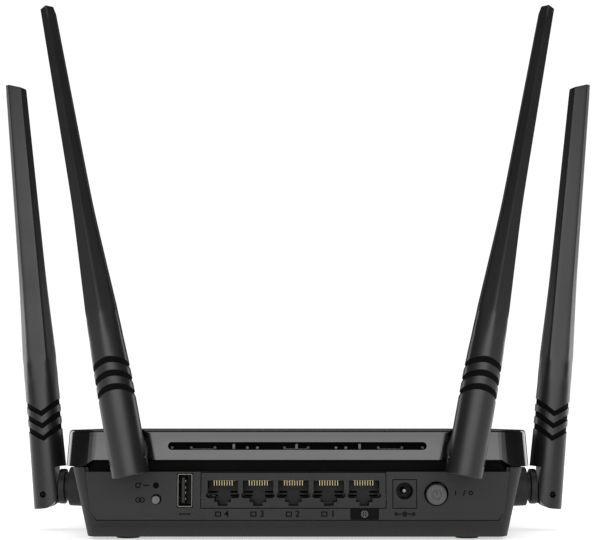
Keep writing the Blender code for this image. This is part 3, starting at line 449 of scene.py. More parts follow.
def makeCover():
    low = (-coverHalf, rearY, cover["bottom"])
    high = (coverHalf, frontY, coverTop)
    shell = roundedSlab("cover_shell", low, high, cover["corner"], cover["cornerSteps"])
    taper = 1 - cover["drawIn"] / coverHalf
    centre = (0, (rearY + frontY) / 2, coverTop)
    resizeVerts(shell, (taper, 1, 1), centre, lambda vert: vert.co.z > coverTop - near)
    onTop = lambda edge: all(vert.co.z > coverTop - near for vert in edge.verts)
    bevelEdges(shell, cover["topRound"], 4, onTop)
    wall = cover["wall"]
    hollowHalf = coverHalf - wall - cover["drawIn"]
    hollowLow = (-hollowHalf, rearY + cover["rearWall"], cover["hollowBottom"])
    hollowHigh = (hollowHalf, frontY - wall, coverTop - wall)
    carve(shell, roundedSlab("hollow", hollowLow, hollowHigh, cover["corner"] - wall, 8))
    for side in sides.values():
        carve(shell, pocketCutter(side))
    bandLow = (-bandCut["half"], rearY - 2 * past, bandCut["low"])
    band = addBox("band", bandLow, (bandCut["half"], rearY + bandCut["deep"], bandCut["high"]))
    onBandTop = lambda vert: vert.co.z > bandCut["high"] - near
    carve(shell, resizeVerts(band, (bandCut["taper"], 1, 1), (0, 0, 0), onBandTop))
    for word in sides:
        makeBoss(shell, word)
    halfHigh = slot["high"] / 2
    slotLow = (-slot["half"], rearY - 2 * past, slot["z"] - halfHigh)
    slotHigh = (slot["half"], rearY + cover["through"], slot["z"] + halfHigh)
    # The slot's ends are round: the bevel stops just short of half its height.
    opening = addBox("slot", slotLow, slotHigh)
    carve(shell, bevelEdges(opening, slot["high"] * 0.495, 8, lambda edge: runsAlong(edge, 1)))
    reliefLow = (-relief["half"], rearY + relief["front"], relief["low"])
    carve(shell, addBox("relief", reliefLow, (relief["half"], rearY + relief["back"], relief["high"])))
    for x, y in lightPlaces():
        carve(shell, addRod("light", (x, y, lights["low"]), (x, y, lights["high"]), lights["radius"], 24))
    softEdges(shell, cover["edgeRound"], 2, 50)
    shadeRound(shell, 28)
    show(shell, "casing", glossAbs, "gloss_black", "top_cover")


housing = {
    "top": 0.0284,
    "halfTop": 0.0903,
    "standOff": 0.0012,
    "frontSetBack": 0.0015,
    "drawIn": 0.00639,
    "corner": 0.010,
    "wall": 0.002,
    "rimSetBack": 0.0025,
    "rimTop": 0.0048,
    "bossRadius": 0.0083,
    "bossSpread": 0.0006,
    "bossLength": 0.0140,
    "bossRound": 0.0005,
    "shaftHole": 0.0047,
    "shaftDeep": 0.016,
    "edgeRound": 0.0003,
}
rib = {"half": 0.0775, "front": 0.0010, "back": 0.0042, "low": 0.0008, "belowPanel": 0.0002}
recess = {"footGap": 0.0003, "footDeep": 0.0006, "screwRadius": 0.0031, "screwDeep": 0.0024}
baseVents = {"rows": 2, "columns": 7, "pitch": 0.0130, "first": 0.034, "rowStep": 0.032, "long": 0.024}
baseVents.update({"half": 0.0012, "round": 0.00115, "top": 0.006})
skirt = {"inset": 0.0026, "thick": 0.0008, "rearGap": 0.0030, "low": 0.0262, "high": 0.0312}
panel = {
    "top": 0.0267,
    "knee": 0.0114,
    "bottom": 0.0079,
    "halfTop": 0.0840,
    "halfKnee": 0.0818,
    "halfBottom": 0.0792,
    "thickness": 0.0022,
    "gap": 0.0003,
    "edgeRound": 0.00018,
    "cutDeep": 0.008,
    "openingTop": 0.0320,
    "openingDeep": 0.0030,
    "bossRoom": 0.0082,
    "bossRoomFrom": 0.0024,
}
strip = {"setBack": 0.0026, "thick": 0.0018, "sideGap": 0.0003, "overlap": 0.0014, "top": 0.0311}
stripTaper, stripRound = 0.965, 0.0003
lan = {"count": 5, "centreX": -0.00152, "pitch": 0.01397, "half": 0.036425, "low": 0.0126, "high": 0.0263}
usb = {"x": (-0.0473, -0.0415), "z": (0.0130, 0.0259), "sheet": 0.0003}
inlet = {
    "x": (0.0379, 0.0470),
    "z": (0.0126, 0.0235),
    "holeX": 0.0424,
    "holeZ": 0.0192,
    "holeRadius": 0.00315,
}
power = {"x": 0.0549, "z": 0.01785, "radius": 0.00405, "holeRadius": 0.00480, "holeUp": 0.0003}
keys = {
    "x": -0.0559,
    "resetZ": 0.0214,
    "resetHole": 0.0012,
    "pairZ": 0.0157,
    "pairRadius": 0.0016,
    "pairHole": 0.0021,
    "pairHoleShift": (0.0002, 0.0003),
}


def taperedSlab(name, halfTop, front, base, top, drawIn, corner, inset=0.0):
    rear = rearY + inset
    slab = addBox(name, (-halfTop + inset, rear, base), (halfTop - inset, front - inset, top))
    across = 1 - drawIn / (halfTop - inset)
    along = 1 - drawIn / (front - inset - rear)
    resizeVerts(slab, (across, along, 1), (0, rear, base), lambda vert: vert.co.z < base + near)
    upright = lambda edge: abs(middle(edge).z - (base + top) / 2) < 5 * near
    return bevelEdges(slab, corner - inset, 14, upright)


def panelPrism(name, grow, top, front, back):
    kneeZ = panel["knee"]
    slope = (panel["halfTop"] - panel["halfKnee"]) / (panel["top"] - kneeZ)
    halfTop = panel["halfKnee"] + slope * (top - kneeZ) + grow
    halfKnee = panel["halfKnee"] + grow
    halfBottom = panel["halfBottom"] + grow
    prism = addBox(name, (-halfTop, front, kneeZ), (halfTop, back, top))
    resizeVerts(prism, (halfKnee / halfTop, 1, 1), (0, 0, kneeZ), lambda vert: vert.co.z < kneeZ + near)
    editing(prism)
    pick(prism, "FACE", lambda face: face.normal.z < -0.9)
    drop = panel["bottom"] - grow - kneeZ
    bpy.ops.mesh.extrude_region_move(TRANSFORM_OT_translate={"value": (0, 0, drop)})
    bpy.ops.transform.resize(value=(halfBottom / halfKnee, 1, 1), center_override=(0, 0, kneeZ + drop))
    doneEditing()
    return prism


def addSideBosses(tray):
    for word, side in sides.items():
        x, y, z = joints[f"swivel_side_{word}"]["pos_m"]
        foot = (x - side * housing["bossLength"], y, z)
        footRadius = housing["bossRadius"] + housing["bossSpread"]
        boss = addRod("boss", foot, (x, y, z), footRadius, 64, housing["bossRadius"])
        weldOn(tray, bevelEdges(boss, housing["bossRound"], 3, rimAt(0, x)))


def slopeRearFoot(tray, base):
    # The foot of the rear wall slopes in, and a rib behind it keeps the wall closed.
    sloped = panel["bottom"]
    ribLow = (-rib["half"], rearY + rib["front"], base + rib["low"])
    weldOn(tray, addBox("rib", ribLow, (rib["half"], rearY + rib["back"], sloped - rib["belowPanel"])))
    reach = housing["halfTop"] + 0.01
    setBack = rearY + housing["rimSetBack"]
    underRim = addBox("underRim", (-reach, rearY - 4 * past, -past), (reach, setBack, sloped))
    drop = housing["rimTop"] - sloped
    upper = lambda vert: vert.co.z > sloped - near
    moveVerts(underRim, (0, 0, drop), lambda vert: vert.co.y > rearY and upper(vert))
    moveVerts(underRim, (0, 4 * past, 0), lambda vert: vert.co.y < rearY and upper(vert))
    carve(tray, underRim)


def sinkFeetAndScrews(tray, base):
    for corner in ("rear_left", "rear_right", "front_left", "front_right"):
        footLow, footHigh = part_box(f"foot_{corner}")
        x, y = (footLow.x + footHigh.x) / 2, (footLow.y + footHigh.y) / 2
        radius = (footHigh.x - footLow.x) / 2 + recess["footGap"]
        carve(tray, addRod("footRecess", (x, y, 0), (x, y, base + recess["footDeep"]), radius, 40))
        screwLow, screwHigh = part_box(f"cover_screw_{corner}")
        x, y = (screwLow.x + screwHigh.x) / 2, (screwLow.y + screwHigh.y) / 2
        deep = base + recess["screwDeep"]
        carve(tray, addRod("screwRecess", (x, y, 0), (x, y, deep), recess["screwRadius"], 32))


def cutBaseVents(tray):
    half, top = baseVents["half"], baseVents["top"]
    for row in range(baseVents["rows"]):
        y = rearY + baseVents["first"] + baseVents["rowStep"] * row
        for column in range(baseVents["columns"]):
            x = baseVents["pitch"] * (column - (baseVents["columns"] - 1) / 2)
            opening = addBox("vent", (x - half, y, 0), (x + half, y + baseVents["long"], top))
            carve(tray, bevelEdges(opening, baseVents["round"], 6, lambda edge: runsAlong(edge, 2)))


def makeHousing():
    base = tableZ + housing["standOff"]
    front = frontY - housing["frontSetBack"]
    halfTop, top, wall = housing["halfTop"], housing["top"], housing["wall"]
    drawIn, corner = housing["drawIn"], housing["corner"]
    tray = taperedSlab("housing_tray", halfTop, front, base, top, drawIn, corner)
    addSideBosses(tray)
    carve(tray, taperedSlab("hollow", halfTop, front, base + wall, top + 3 * past, drawIn, corner, wall))
    slopeRearFoot(tray, base)
    opening = (panel["openingTop"], rearY - past, rearY + panel["openingDeep"])
    carve(tray, panelPrism("opening", panel["gap"], *opening))
    for word, side in sides.items():
        x, y, z = joints[f"swivel_side_{word}"]["pos_m"]
        inner = (x - side * housing["shaftDeep"], y, z)
        carve(tray, addRod("shaft", (x + side * past, y, z), inner, housing["shaftHole"], 48))
    sinkFeetAndScrews(tray, base)
    cutBaseVents(tray)
    softEdges(tray, housing["edgeRound"], 2, 40)
    shadeRound(tray, 30)
    show(tray, "casing", charcoalAbs, "matte_charcoal", "bottom_housing")


def portCentres():
    return [lan["centreX"] + lan["pitch"] * (i - (lan["count"] - 1) / 2) for i in range(lan["count"])]


def makeSkirt():
    # The tongue inside the seam between cover and housing, which keeps light out of it. Its near-black is
    # painted shade in the seam.
    inset, thick = skirt["inset"], skirt["thick"]
    corner = housing["corner"] - inset
    half = housing["halfTop"] - inset
    low = Vector((-half, rearY + inset + skirt["rearGap"], skirt["low"]))
    high = Vector((half, frontY - housing["frontSetBack"] - inset, skirt["high"]))
    tongue = roundedSlab("seam_skirt", low, high, corner, 10)
    inwards = Vector((thick, thick, -past))
    carve(tongue, roundedSlab("hollow", low + inwards, high - inwards, corner - thick, 10))
    shadeRound(tongue, 30)
    show(tongue, "casing", mattBlackAndShade, "matte_charcoal")


def panelOpenings():
    gap, half = panel["gap"], lan["half"] + panel["gap"]
    yield lan["centreX"] - half, lan["centreX"] + half, lan["low"] - gap, lan["high"] + gap
    for socket in (usb, inlet):
        yield socket["x"][0] - gap, socket["x"][1] + gap, socket["z"][0] - gap, socket["z"][1] + gap


def makePanel():
    plate = panelPrism("panel_plate", 0.0, panel["top"], rearY, rearY + panel["thickness"])
    front, deep = rearY - past, rearY + panel["cutDeep"]
    for lowX, highX, lowZ, highZ in panelOpenings():
        carve(plate, addBox("opening", (lowX, front, lowZ), (highX, deep, highZ)))
    x, z = power["x"], power["z"] + power["holeUp"]
    carve(plate, addRod("hole", (x, front, z), (x, deep, z), power["holeRadius"], 64))
    for word in sides:
        x, z = joints[f"swivel_rear_{word}"]["pos_m"][::2]
        start = (x, rearY + panel["bossRoomFrom"], z)
        carve(plate, addRod("room", start, (x, deep, z), panel["bossRoom"], 64))
    softEdges(plate, panel["edgeRound"], 2, 40)
    # The two small holes have crisp edges, so they are cut after the others are softened.
    x, z = keys["x"], keys["resetZ"]
    carve(plate, addRod("hole", (x, front, z), (x, deep, z), keys["resetHole"], 64))
    x, z = x + keys["pairHoleShift"][0], keys["pairZ"] + keys["pairHoleShift"][1]
    carve(plate, addRod("hole", (x, front, z), (x, deep, z), keys["pairHole"], 64))
    shadeRound(plate, 30)
    show(plate, "casing", charcoalAbs, "matte_charcoal", "rear_panel")


def makePanelBand():
    # A strip set back in the seam between the panel and the cover, near-black as painted shade.
    half = panel["halfTop"] - strip["sideGap"]
    front = rearY + strip["setBack"]
    low = (-half, front, panel["top"] - strip["overlap"])
    band = addBox("panel_band", low, (half, front + strip["thick"], strip["top"]))
    resizeVerts(band, (stripTaper, 1, 1), (0, 0, 0), lambda vert: vert.co.z > strip["top"] - near)
    bevelEdges(band, stripRound, 3, lambda edge: runsAlong(edge, 0))
    shadeRound(band, 30)
    radius = cover["bossRadius"] + panel["gap"]
    for word in sides:
        x, z = joints[f"swivel_rear_{word}"]["pos_m"][::2]
        carve(band, addRod("room", (x, rearY, z), (x, rearY + panel["cutDeep"], z), radius, 64))
    show(band, "casing", mattBlackAndShade, "matte_charcoal")


makeCover()
makeHousing()
makeSkirt()
makePanel()
makePanelBand()
print("casing made")


port = {
    "deep": 0.0105,
    "blockDeep": 0.016,
    # half width, lowest and highest point of the plug's room, the latch's and the latch's tab
    "steps": ((0.0060, 0.0164, 0.0233), (0.0033, 0.0149, 0.0170), (0.0019, 0.0134, 0.0155)),
    "seatHalf": 0.0048,
    "seatLow": 0.0225,
    "seatHigh": 0.0250,
    "railIn": 0.0002,
    "railOut": 0.0006,
    "railDeep": 0.0100,
    "lowRail": (0.0168, 0.0182),
    "highRail": (0.0188, 0.0200),
    "slotFrom": 0.0025,
    "slotTo": 0.0058,
    "slots": ((0.0165, 0.0172), (0.0180, 0.0187)),
    "edgeRound": 0.00014,
}


def cutPortSide(block, x, side):
    # Two guide rails along the wall, and two slots beside the plug's path in the back.
    wall = x + side * port["steps"][0][0]
    low, high = sorted((wall - side * port["railIn"], wall + side * port["railOut"]))
    deep = rearY + port["railDeep"]
    carve(block, addBox("rail", (low, rearY - past, port["lowRail"][0]), (high, deep, port["lowRail"][1])))
    start = rearY + port["railOut"]
    carve(block, addBox("rail", (low, start, port["highRail"][0]), (high, deep, port["highRail"][1])))
    low, high = sorted((x + side * port["slotFrom"], x + side * port["slotTo"]))
    start, deep = rearY + port["deep"] - past / 2, rearY + port["blockDeep"] + past
    for floorZ, ceilingZ in port["slots"]:
        carve(block, addBox("gap", (low, start, floorZ), (high, deep, ceilingZ)))


def makeSocketBlock():
    low = (lan["centreX"] - lan["half"], rearY, lan["low"])
    high = (lan["centreX"] + lan["half"], rearY + port["blockDeep"], lan["high"])
    block = addBox("socket_block", low, high)
    front, back = rearY - past, rearY + port["deep"]
    for x in portCentres():
        room, *steps = [
            addBox("room", (x - half, front, floorZ), (x + half, back, ceilingZ))
            for half, floorZ, ceilingZ in port["steps"]
        ]
        for step in steps:
            weldOn(room, step)
        carve(block, room)
        seatLow = (x - port["seatHalf"], rearY + 2 * past, port["seatLow"])
        seatHigh = (x + port["seatHalf"], rearY + port["blockDeep"] + past, port["seatHigh"])
        carve(block, addBox("seat", seatLow, seatHigh))
        for side in sides.values():
            cutPortSide(block, x, side)
    softEdges(block, port["edgeRound"], 2, 50)
    shadeRound(block, 30)
    show(block, "casing", socketPbt, "socket_black", "lan_socket_block")


contacts = {
    "count": 8,
    "pitch": 0.00102,
    "width": 0.00024,
    "thick": 0.0003,
    "front": 0.0024,
    "top": 0.0239,
    "drop": 0.0027,
    "lean": 0.0008,
    "back": 0.0166,
    "carrierBack": 0.0175,
    "carrierLow": 0.0200,
    "carrierHigh": 0.0247,
    "fingerRound": 0.00008,
    "carrierRound": 0.0002,
}


def makeFinger():
    half, thick, top = contacts["width"] / 2, contacts["thick"], contacts["top"]
    front = rearY + contacts["front"]
    finger = addBox("finger", (-half, front, top - contacts["drop"]), (half, front + 2 * thick, top + thick))
    moveVerts(finger, (0, contacts["lean"], 0), lambda vert: vert.co.z < top - thick)
    weldOn(finger, addBox("heel", (-half, front + thick, top), (half, rearY + contacts["back"], top + thick)))
    return softEdges(finger, contacts["fingerRound"], 1, 50)


def makeContactStrip():
    finger = makeFinger()
    parts = []
    for x in portCentres():
        for i in range(contacts["count"]):
            shift = x + contacts["pitch"] * (i - (contacts["count"] - 1) / 2)
            parts.append(copyOf(finger, f"finger_{len(parts)}", Matrix.Translation((shift, 0, 0))))
    bpy.data.objects.remove(finger, do_unlink=True)
    reach = lan["pitch"] * (lan["count"] - 1) / 2 + port["seatHalf"]
    low = (lan["centreX"] - reach, rearY + contacts["back"] - contacts["thick"], contacts["carrierLow"])
    high = (lan["centreX"] + reach, rearY + contacts["carrierBack"], contacts["carrierHigh"])
    bar = softEdges(addBox("carrier", low, high), contacts["carrierRound"], 2, 50)
    strip = joinAll("contact_fingers", [bar, *parts])
    shadeRound(strip, 30)
    show(strip, "casing", goldPlate, "contact_gold", "lan_contact_strip")


usbParts = {
    "proud": 0.0002,
    "outerRound": 0.0006,
    "innerRound": 0.0003,
    "springOut": 0.0030,
    "springHalf": (0.0006, 0.0007),
    "springFrom": 0.0030,
    "springTo": 0.0080,
    "insertFrom": 0.0100,
    "bladeFrom": 0.0012,
    "bladeTo": 0.0110,
    "bladeInset": 0.0008,
    "bladeThick": 0.0014,
    "bars": (-0.0035, -0.0010, 0.0010, 0.0035),
    "barHalf": 0.0005,
    "barOut": (0.00142, 0.0018),
    "barFrom": 0.0018,
    "barTo": 0.0098,
    "barRound": 0.00015,
    "bladeRound": 0.0003,
    "edgeRound": 0.0001,
}


def makeUsbShell(low, high, centreZ):
    sheet = Vector((usb["sheet"], 0, usb["sheet"]))
    shell = addBox("usb_sleeve", low, high)
    bevelEdges(shell, usbParts["outerRound"], 4, lambda edge: runsAlong(edge, 1))
    reach = Vector((0, past, 0))
    hollow = addBox("hollow", low + sheet - reach, high - sheet + reach)
    carve(shell, bevelEdges(hollow, usbParts["innerRound"], 3, lambda edge: runsAlong(edge, 1)))
    halfX, halfZ = usbParts["springHalf"]
    start, end = rearY + usbParts["springFrom"], rearY + usbParts["springTo"]
    for side in sides.values():
        z = centreZ + side * usbParts["springOut"]
        for x in (low.x, high.x):
            carve(shell, addBox("window", (x - halfX, start, z - halfZ), (x + halfX, end, z + halfZ)))
    softEdges(shell, usbParts["edgeRound"], 2, 50)
    shadeRound(shell, 30)
    show(shell, "casing", nickelPlate, "nickel_plate", "usb_shell")


def makeUsbSocket():
    low = Vector((usb["x"][0], rearY - usbParts["proud"], usb["z"][0]))
    high = Vector((usb["x"][1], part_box("usb_shell")[1].y, usb["z"][1]))
    centreZ = (low.z + high.z) / 2
    makeUsbShell(low, high, centreZ)
    inwards = Vector((usb["sheet"] + panel["gap"], 0, usb["sheet"] + panel["gap"]))
    innerLow, innerHigh = low + inwards, high - inwards
    insert = addBox("usb_insert", (innerLow.x, rearY + usbParts["insertFrom"], innerLow.z), innerHigh)
    bladeX, inset = innerLow.x + usbParts["bladeInset"], usbParts["bladeInset"]
    bladeLow = (bladeX, rearY + usbParts["bladeFrom"], innerLow.z + inset)
    bladeHigh = (bladeX + usbParts["bladeThick"], rearY + usbParts["bladeTo"], innerHigh.z - inset)
    blade = addBox("blade", bladeLow, bladeHigh)
    inFront = lambda edge: middle(edge).y < bladeLow[1] + near
    weldOn(insert, bevelEdges(blade, usbParts["bladeRound"], 2, inFront))
    shadeRound(insert, 30)
    show(insert, "casing", socketPbt, "socket_black", "usb_tongue")
    bars = []
    start, end = (bladeX + out for out in usbParts["barOut"])
    half = usbParts["barHalf"]
    for offset in usbParts["bars"]:
        z = centreZ + offset
        barLow = (start, rearY + usbParts["barFrom"], z - half)
        bar = addBox("bar", barLow, (end, rearY + usbParts["barTo"], z + half))
        bars.append(bevelEdges(bar, usbParts["barRound"], 2, lambda edge: True))
    leads = joinAll("usb_contacts", bars)
    shadeRound(leads, 30)
    show(leads, "casing", nickelPlate, "nickel_plate")


jack = {
    "boreDeep": 0.0100,
    "lip": 0.0004,
    "seatRadius": 0.0013,
    "seatDeep": 0.015,
    "keyHalf": 0.0007,
    "keyDrop": 0.0008,
    "keyDeep": 0.0090,
    "pinFront": 0.0016,
    "pinBack": 0.0136,
    "pinRadius": 0.0010,
    "pinRound": 0.0006,
    "leafHalf": 0.0006,
    "leafBack": 0.0085,
    "leafRise": 0.0001,
    "leafLift": 0.0005,
    "leafRound": 0.0001,
    "edgeRound": 0.00015,
}


def makePowerInlet():
    x, z, radius = inlet["holeX"], inlet["holeZ"], inlet["holeRadius"]
    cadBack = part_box("dc_jack_body")[1].y
    (lowX, highX), (lowZ, highZ) = inlet["x"], inlet["z"]
    body = addBox("inlet_body", (lowX, rearY, lowZ), (highX, cadBack, highZ))
    bore = rearY + jack["boreDeep"]
    carve(body, addRod("bore", (x, rearY - past, z), (x, bore, z), radius, 80))
    lip = jack["lip"]
    carve(body, addRod("lip", (x, rearY - lip / 2, z), (x, rearY + lip, z), radius + lip, 80, radius))
    seatEnd = (x, rearY + jack["seatDeep"], z)
    carve(body, addRod("seat", (x, bore - past, z), seatEnd, jack["seatRadius"], 24))
    keyLow = (x - jack["keyHalf"], rearY + past, z - radius - jack["keyDrop"])
    carve(body, addBox("key", keyLow, (x + jack["keyHalf"], rearY + jack["keyDeep"], z)))
    softEdges(body, jack["edgeRound"], 2, 60)
    shadeRound(body, 30)
    show(body, "casing", socketPbt, "socket_black", "dc_jack_body")
    tip = rearY + jack["pinFront"]
    pin = addRod("inlet_pin", (x, tip, z), (x, rearY + jack["pinBack"], z), jack["pinRadius"], 40)
    bevelEdges(pin, jack["pinRound"], 5, rimAt(1, tip))
    shadeRound(pin, 40)
    show(pin, "casing", nickelPlate, "nickel_plate", "dc_jack_pin")
    half, back = jack["leafHalf"], rearY + jack["leafBack"]
    leafHigh = (x + half, back, z - radius + jack["leafRise"])
    leaf = addBox("inlet_leaf", (x - half, tip, z - radius - half), leafHigh)
    moveVerts(leaf, (0, 0, jack["leafLift"]), lambda vert: vert.co.y > back - near)
    bevelEdges(leaf, jack["leafRound"], 1, lambda edge: True)
    show(leaf, "casing", nickelPlate, "nickel_plate")


button = {
    "proud": 0.0022,
    "round": 0.0006,
    "back": 0.005,
    "stemHalf": 0.0016,
    "stemEnd": 0.010,
    "ring": 0.0017,
    "line": 0.00026,
    "cut": 0.00040,
    "ringGap": 0.0007,
    "strokeUp": 0.0002,
}
pairCap = {"proud": 0.0008, "round": 0.0003, "back": 0.0036}
pairStem = {"from": 0.0030, "to": 0.0052, "radius": 0.0009}
plungerPin = {"front": 0.0028, "back": 0.0053, "radius": 0.0008, "round": 0.0002}


def makePowerButton():
    x, z = power["x"], power["z"]
    face = rearY - button["proud"]
    cap = addRod("power_cap", (x, face, z), (x, rearY + button["back"], z), power["radius"], 96)
    bevelEdges(cap, button["round"], 5, rimAt(1, face))
    # The sign cut into its face: an open ring, and a stroke through the opening.
    ring, line, cut = button["ring"], button["line"], button["cut"]
    gap, up = button["ringGap"], button["strokeUp"]
    groove = addRod("groove", (x, face - past, z), (x, face + cut, z), ring + line, 64)
    carve(groove, addRod("core", (x, face - 2 * past, z), (x, face + past, z), ring - line, 64))
    carve(groove, addBox("gap", (x - gap, face - 2 * past, z), (x + gap, face + past, z + 4 * past)))
    strokeHigh = (x + line, face + cut, z + ring + 2 * up)
    stroke = addBox("stroke", (x - line, face - past, z + up), strokeHigh)
    carve(cap, groove)
    carve(cap, stroke)
    half, end = button["stemHalf"], rearY + button["stemEnd"]
    start = rearY + button["back"] - past
    weldOn(cap, addBox("stem", (x - half, start, z - half), (x + half, end, z + half)))
    shadeRound(cap, 30)
    show(cap, "power_button", buttonAbs, "button_grey", "power_button")


def makeSmallKeys():
    x, z = keys["x"], keys["pairZ"]
    face = rearY - pairCap["proud"]
    cap = addRod("pair_cap", (x, face, z), (x, rearY + pairCap["back"], z), keys["pairRadius"], 64)
    bevelEdges(cap, pairCap["round"], 4, rimAt(1, face))
    start, end = (x, rearY + pairStem["from"], z), (x, rearY + pairStem["to"], z)
    weldOn(cap, addRod("stem", start, end, pairStem["radius"], 24))
    shadeRound(cap, 30)
    show(cap, "pair_button", paleAbs, "button_light_grey", "pair_button")
    z = keys["resetZ"]
    front, back = rearY + plungerPin["front"], rearY + plungerPin["back"]
    # The plunger is near-black, as painted shade deep in its hole.
    plunger = addRod("reset_pin", (x, front, z), (x, back, z), plungerPin["radius"], 32)
    bevelEdges(plunger, plungerPin["round"], 3, lambda edge: not runsAlong(edge, 1))
    shadeRound(plunger, 30)
    show(plunger, "reset_plunger", plungerNylon, "button_light_grey", "reset_plunger")


makeSocketBlock()
makeContactStrip()
makeUsbSocket()
makePowerInlet()
makePowerButton()
makeSmallKeys()
print("sockets and buttons made")


base = {
    "footRound": 0.0004,
    "footDish": 0.0003,
    "dishShare": 0.62,
    "headHigh": 0.0016,
    "headTaper": 0.85,
    "headRound": 0.0004,
    "shankRadius": 0.0011,
    "crossLong": 0.0012,
    "crossWide": 0.0003,
    "crossDeep": 0.0009,
}


def makeFoot(corner):
    low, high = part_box(f"foot_{corner}")
    x, y, radius = (low.x + high.x) / 2, (low.y + high.y) / 2, (high.x - low.x) / 2
    foot = addRod(f"rubber_foot_{corner}", (x, y, low.z), (x, y, high.z), radius, 64)
    bevelEdges(foot, base["footRound"], 4, rimAt(2, low.z))
    dishTop = (x, y, low.z + base["footDish"])
    carve(foot, addRod("dish", (x, y, low.z - past), dishTop, radius * base["dishShare"], 48))
    shadeRound(foot, 30)
    show(foot, "casing", footRubber, "foot_rubber", f"foot_{corner}")


def makeBaseScrew(corner):
    low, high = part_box(f"cover_screw_{corner}")
    x, y, radius = (low.x + high.x) / 2, (low.y + high.y) / 2, (high.x - low.x) / 2
    seat = (x, y, low.z + base["headHigh"])
    screw = addRod(f"base_screw_{corner}", (x, y, low.z), seat, radius * base["headTaper"], 48, radius)
    bevelEdges(screw, base["headRound"], 4, rimAt(2, low.z))
    weldOn(screw, addRod("shank", (x, y, low.z + past), (x, y, high.z), base["shankRadius"], 24))
    long, wide = base["crossLong"], base["crossWide"]
    for reachX, reachY in ((long, wide), (wide, long)):
        crossHigh = (x + reachX, y + reachY, low.z + base["crossDeep"])
        carve(screw, addBox("cross", (x - reachX, y - reachY, low.z - past), crossHigh))
    shadeRound(screw, 30)
    show(screw, "casing", zincPlate, "screw_steel", f"cover_screw_{corner}")


guide = {"barTop": 0.0023, "barRound": 0.0004, "postFrom": 0.0030, "postRadius": 0.00075, "postRound": 0.0003}


def makeLightPipe():
    low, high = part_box("led_light_pipe")
    bar = addBox("light_guide", low, (high.x, high.y, coverTop - guide["barTop"]))
    bevelEdges(bar, guide["barRound"], 2, lambda edge: runsAlong(edge, 2))
    for x, y in lightPlaces():
        post = addRod("post", (x, y, coverTop - guide["postFrom"]), (x, y, high.z), guide["postRadius"], 24)
        weldOn(bar, bevelEdges(post, guide["postRound"], 3, rimAt(2, high.z)))
    shadeRound(bar, 30)
    show(bar, "casing", acrylic, "clear_acrylic", "led_light_pipe")


vent = {
    "ribs": (-0.0253, -0.0003, 0.0248),
    "dots": (-0.0199, -0.0159, 0.0154, 0.0193),
    "rails": (-0.0376, -0.0004, 0.0370),
    "ends": (-0.0500, 0.0500),
    "z": 0.0361,
    "postRadius": 0.0006,
    "back": 0.0062,
    "brightFront": 0.0026,
    "dimFront": 0.0034,
    "ribHalf": 0.00055,
    "ribLow": 0.0356,
    "ribHigh": 0.0377,
    "railHalf": 0.0047,
    "railFront": 0.0036,
    "railDrop": (0.0007, 0.0003),
    "postRound": 0.0002,
    "railRound": 0.0001,
}
carrier = {"half": 0.0524, "front": 0.0060, "back": 0.0068, "low": 0.0335, "high": 0.0402, "round": 0.0003}


def ventPost(x, front):
    post = addRod("post", (x, front, vent["z"]), (x, rearY + vent["back"], vent["z"]), vent["postRadius"], 24)
    return bevelEdges(post, vent["postRound"], 2, rimAt(1, front))


def ventRib(x):
    half, front = vent["ribHalf"], rearY + vent["brightFront"]
    rib = addBox("rib", (x - half, front, vent["ribLow"]), (x + half, rearY + vent["back"], vent["ribHigh"]))
    return bevelEdges(rib, vent["postRound"], 2, lambda edge: middle(edge).y < front + near)


def ventRail(low, high):
    front = rearY + vent["railFront"]
    floorZ, ceilingZ = (vent["z"] - drop for drop in vent["railDrop"])
    bar = addBox("rail", (low, front, floorZ), (high, rearY + vent["back"], ceilingZ))
    return bevelEdges(bar, vent["railRound"], 1, lambda edge: middle(edge).y < front + near)


def makeVentInsert():
    # The posts are pale grey as painted highlight and the rails darker grey as painted shade: lit and shaded
    # copies of one insert. The rails also sit deeper.
    brightFront, dimFront = rearY + vent["brightFront"], rearY + vent["dimFront"]
    bright = [ventRib(x) for x in vent["ribs"]]
    bright += [ventPost(x, brightFront) for x in vent["dots"]]
    dim = []
    for x in vent["rails"]:
        low, high = x - vent["railHalf"], x + vent["railHalf"]
        dim += [ventRail(low, high), ventPost(low, dimFront), ventPost(high, dimFront)]
    dim += [ventPost(x, dimFront) for x in vent["ends"]]
    # A near-black plate behind the posts, as painted shade inside the slot.
    backLow = (-carrier["half"], rearY + carrier["front"], carrier["low"])
    back = addBox("vent_carrier", backLow, (carrier["half"], rearY + carrier["back"], carrier["high"]))
    bevelEdges(back, carrier["round"], 2, lambda edge: runsAlong(edge, 1))
    show(back, "casing", mattBlackAndShade, "matte_charcoal")
    posts = joinAll("vent_posts", bright)
    shadeRound(posts, 30)
    show(posts, "casing", paleAbs, "button_light_grey")
    rails = joinAll("vent_rails", dim)
    shadeRound(rails, 30)
    show(rails, "casing", buttonAbs, "button_grey")


for corner in ("rear_left", "rear_right", "front_left", "front_right"):
    makeFoot(corner)
    makeBaseScrew(corner)
makeLightPipe()
makeVentInsert()
print("feet, screws, light guide and vent insert made")


marks = {"proud": 0.00006, "sunk": 0.0002, "line": 0.00042, "row": 0.0102}
digits = {"size": 0.00352, "thick": 0.00012, "bold": 0.00003}
resetSign = {"left": 0.0071, "radius": 0.0011, "gap": 0.0007, "arrow": 0.0006, "bar": (0.0020, 0.0044)}
linkSign = {"left": 0.0062, "radius": 0.0011, "apart": 0.0008, "clear": (0.0004, 0.0030), "bar": 0.0005}
usbSign = {"half": 0.0018, "arrow": 0.0006}
portSign = {"from": 0.0030, "to": 0.0006, "half": 0.0010, "digitRight": 0.0016}
poleSign = {"ring": 0.0010, "dot": 0.0004, "bar": (0.0012, 0.0026), "end": 0.0034, "endRing": 0.0007}
powerSign = {"right": 0.0106, "up": 0.0006, "apart": 0.0030, "half": 0.0009, "slash": 0.0011, "lean": 0.0008}


def markBar(x0, z0, x1, z1):
    return addBox("bar", (x0, rearY - marks["proud"], z0), (x1, rearY + marks["sunk"], z1))


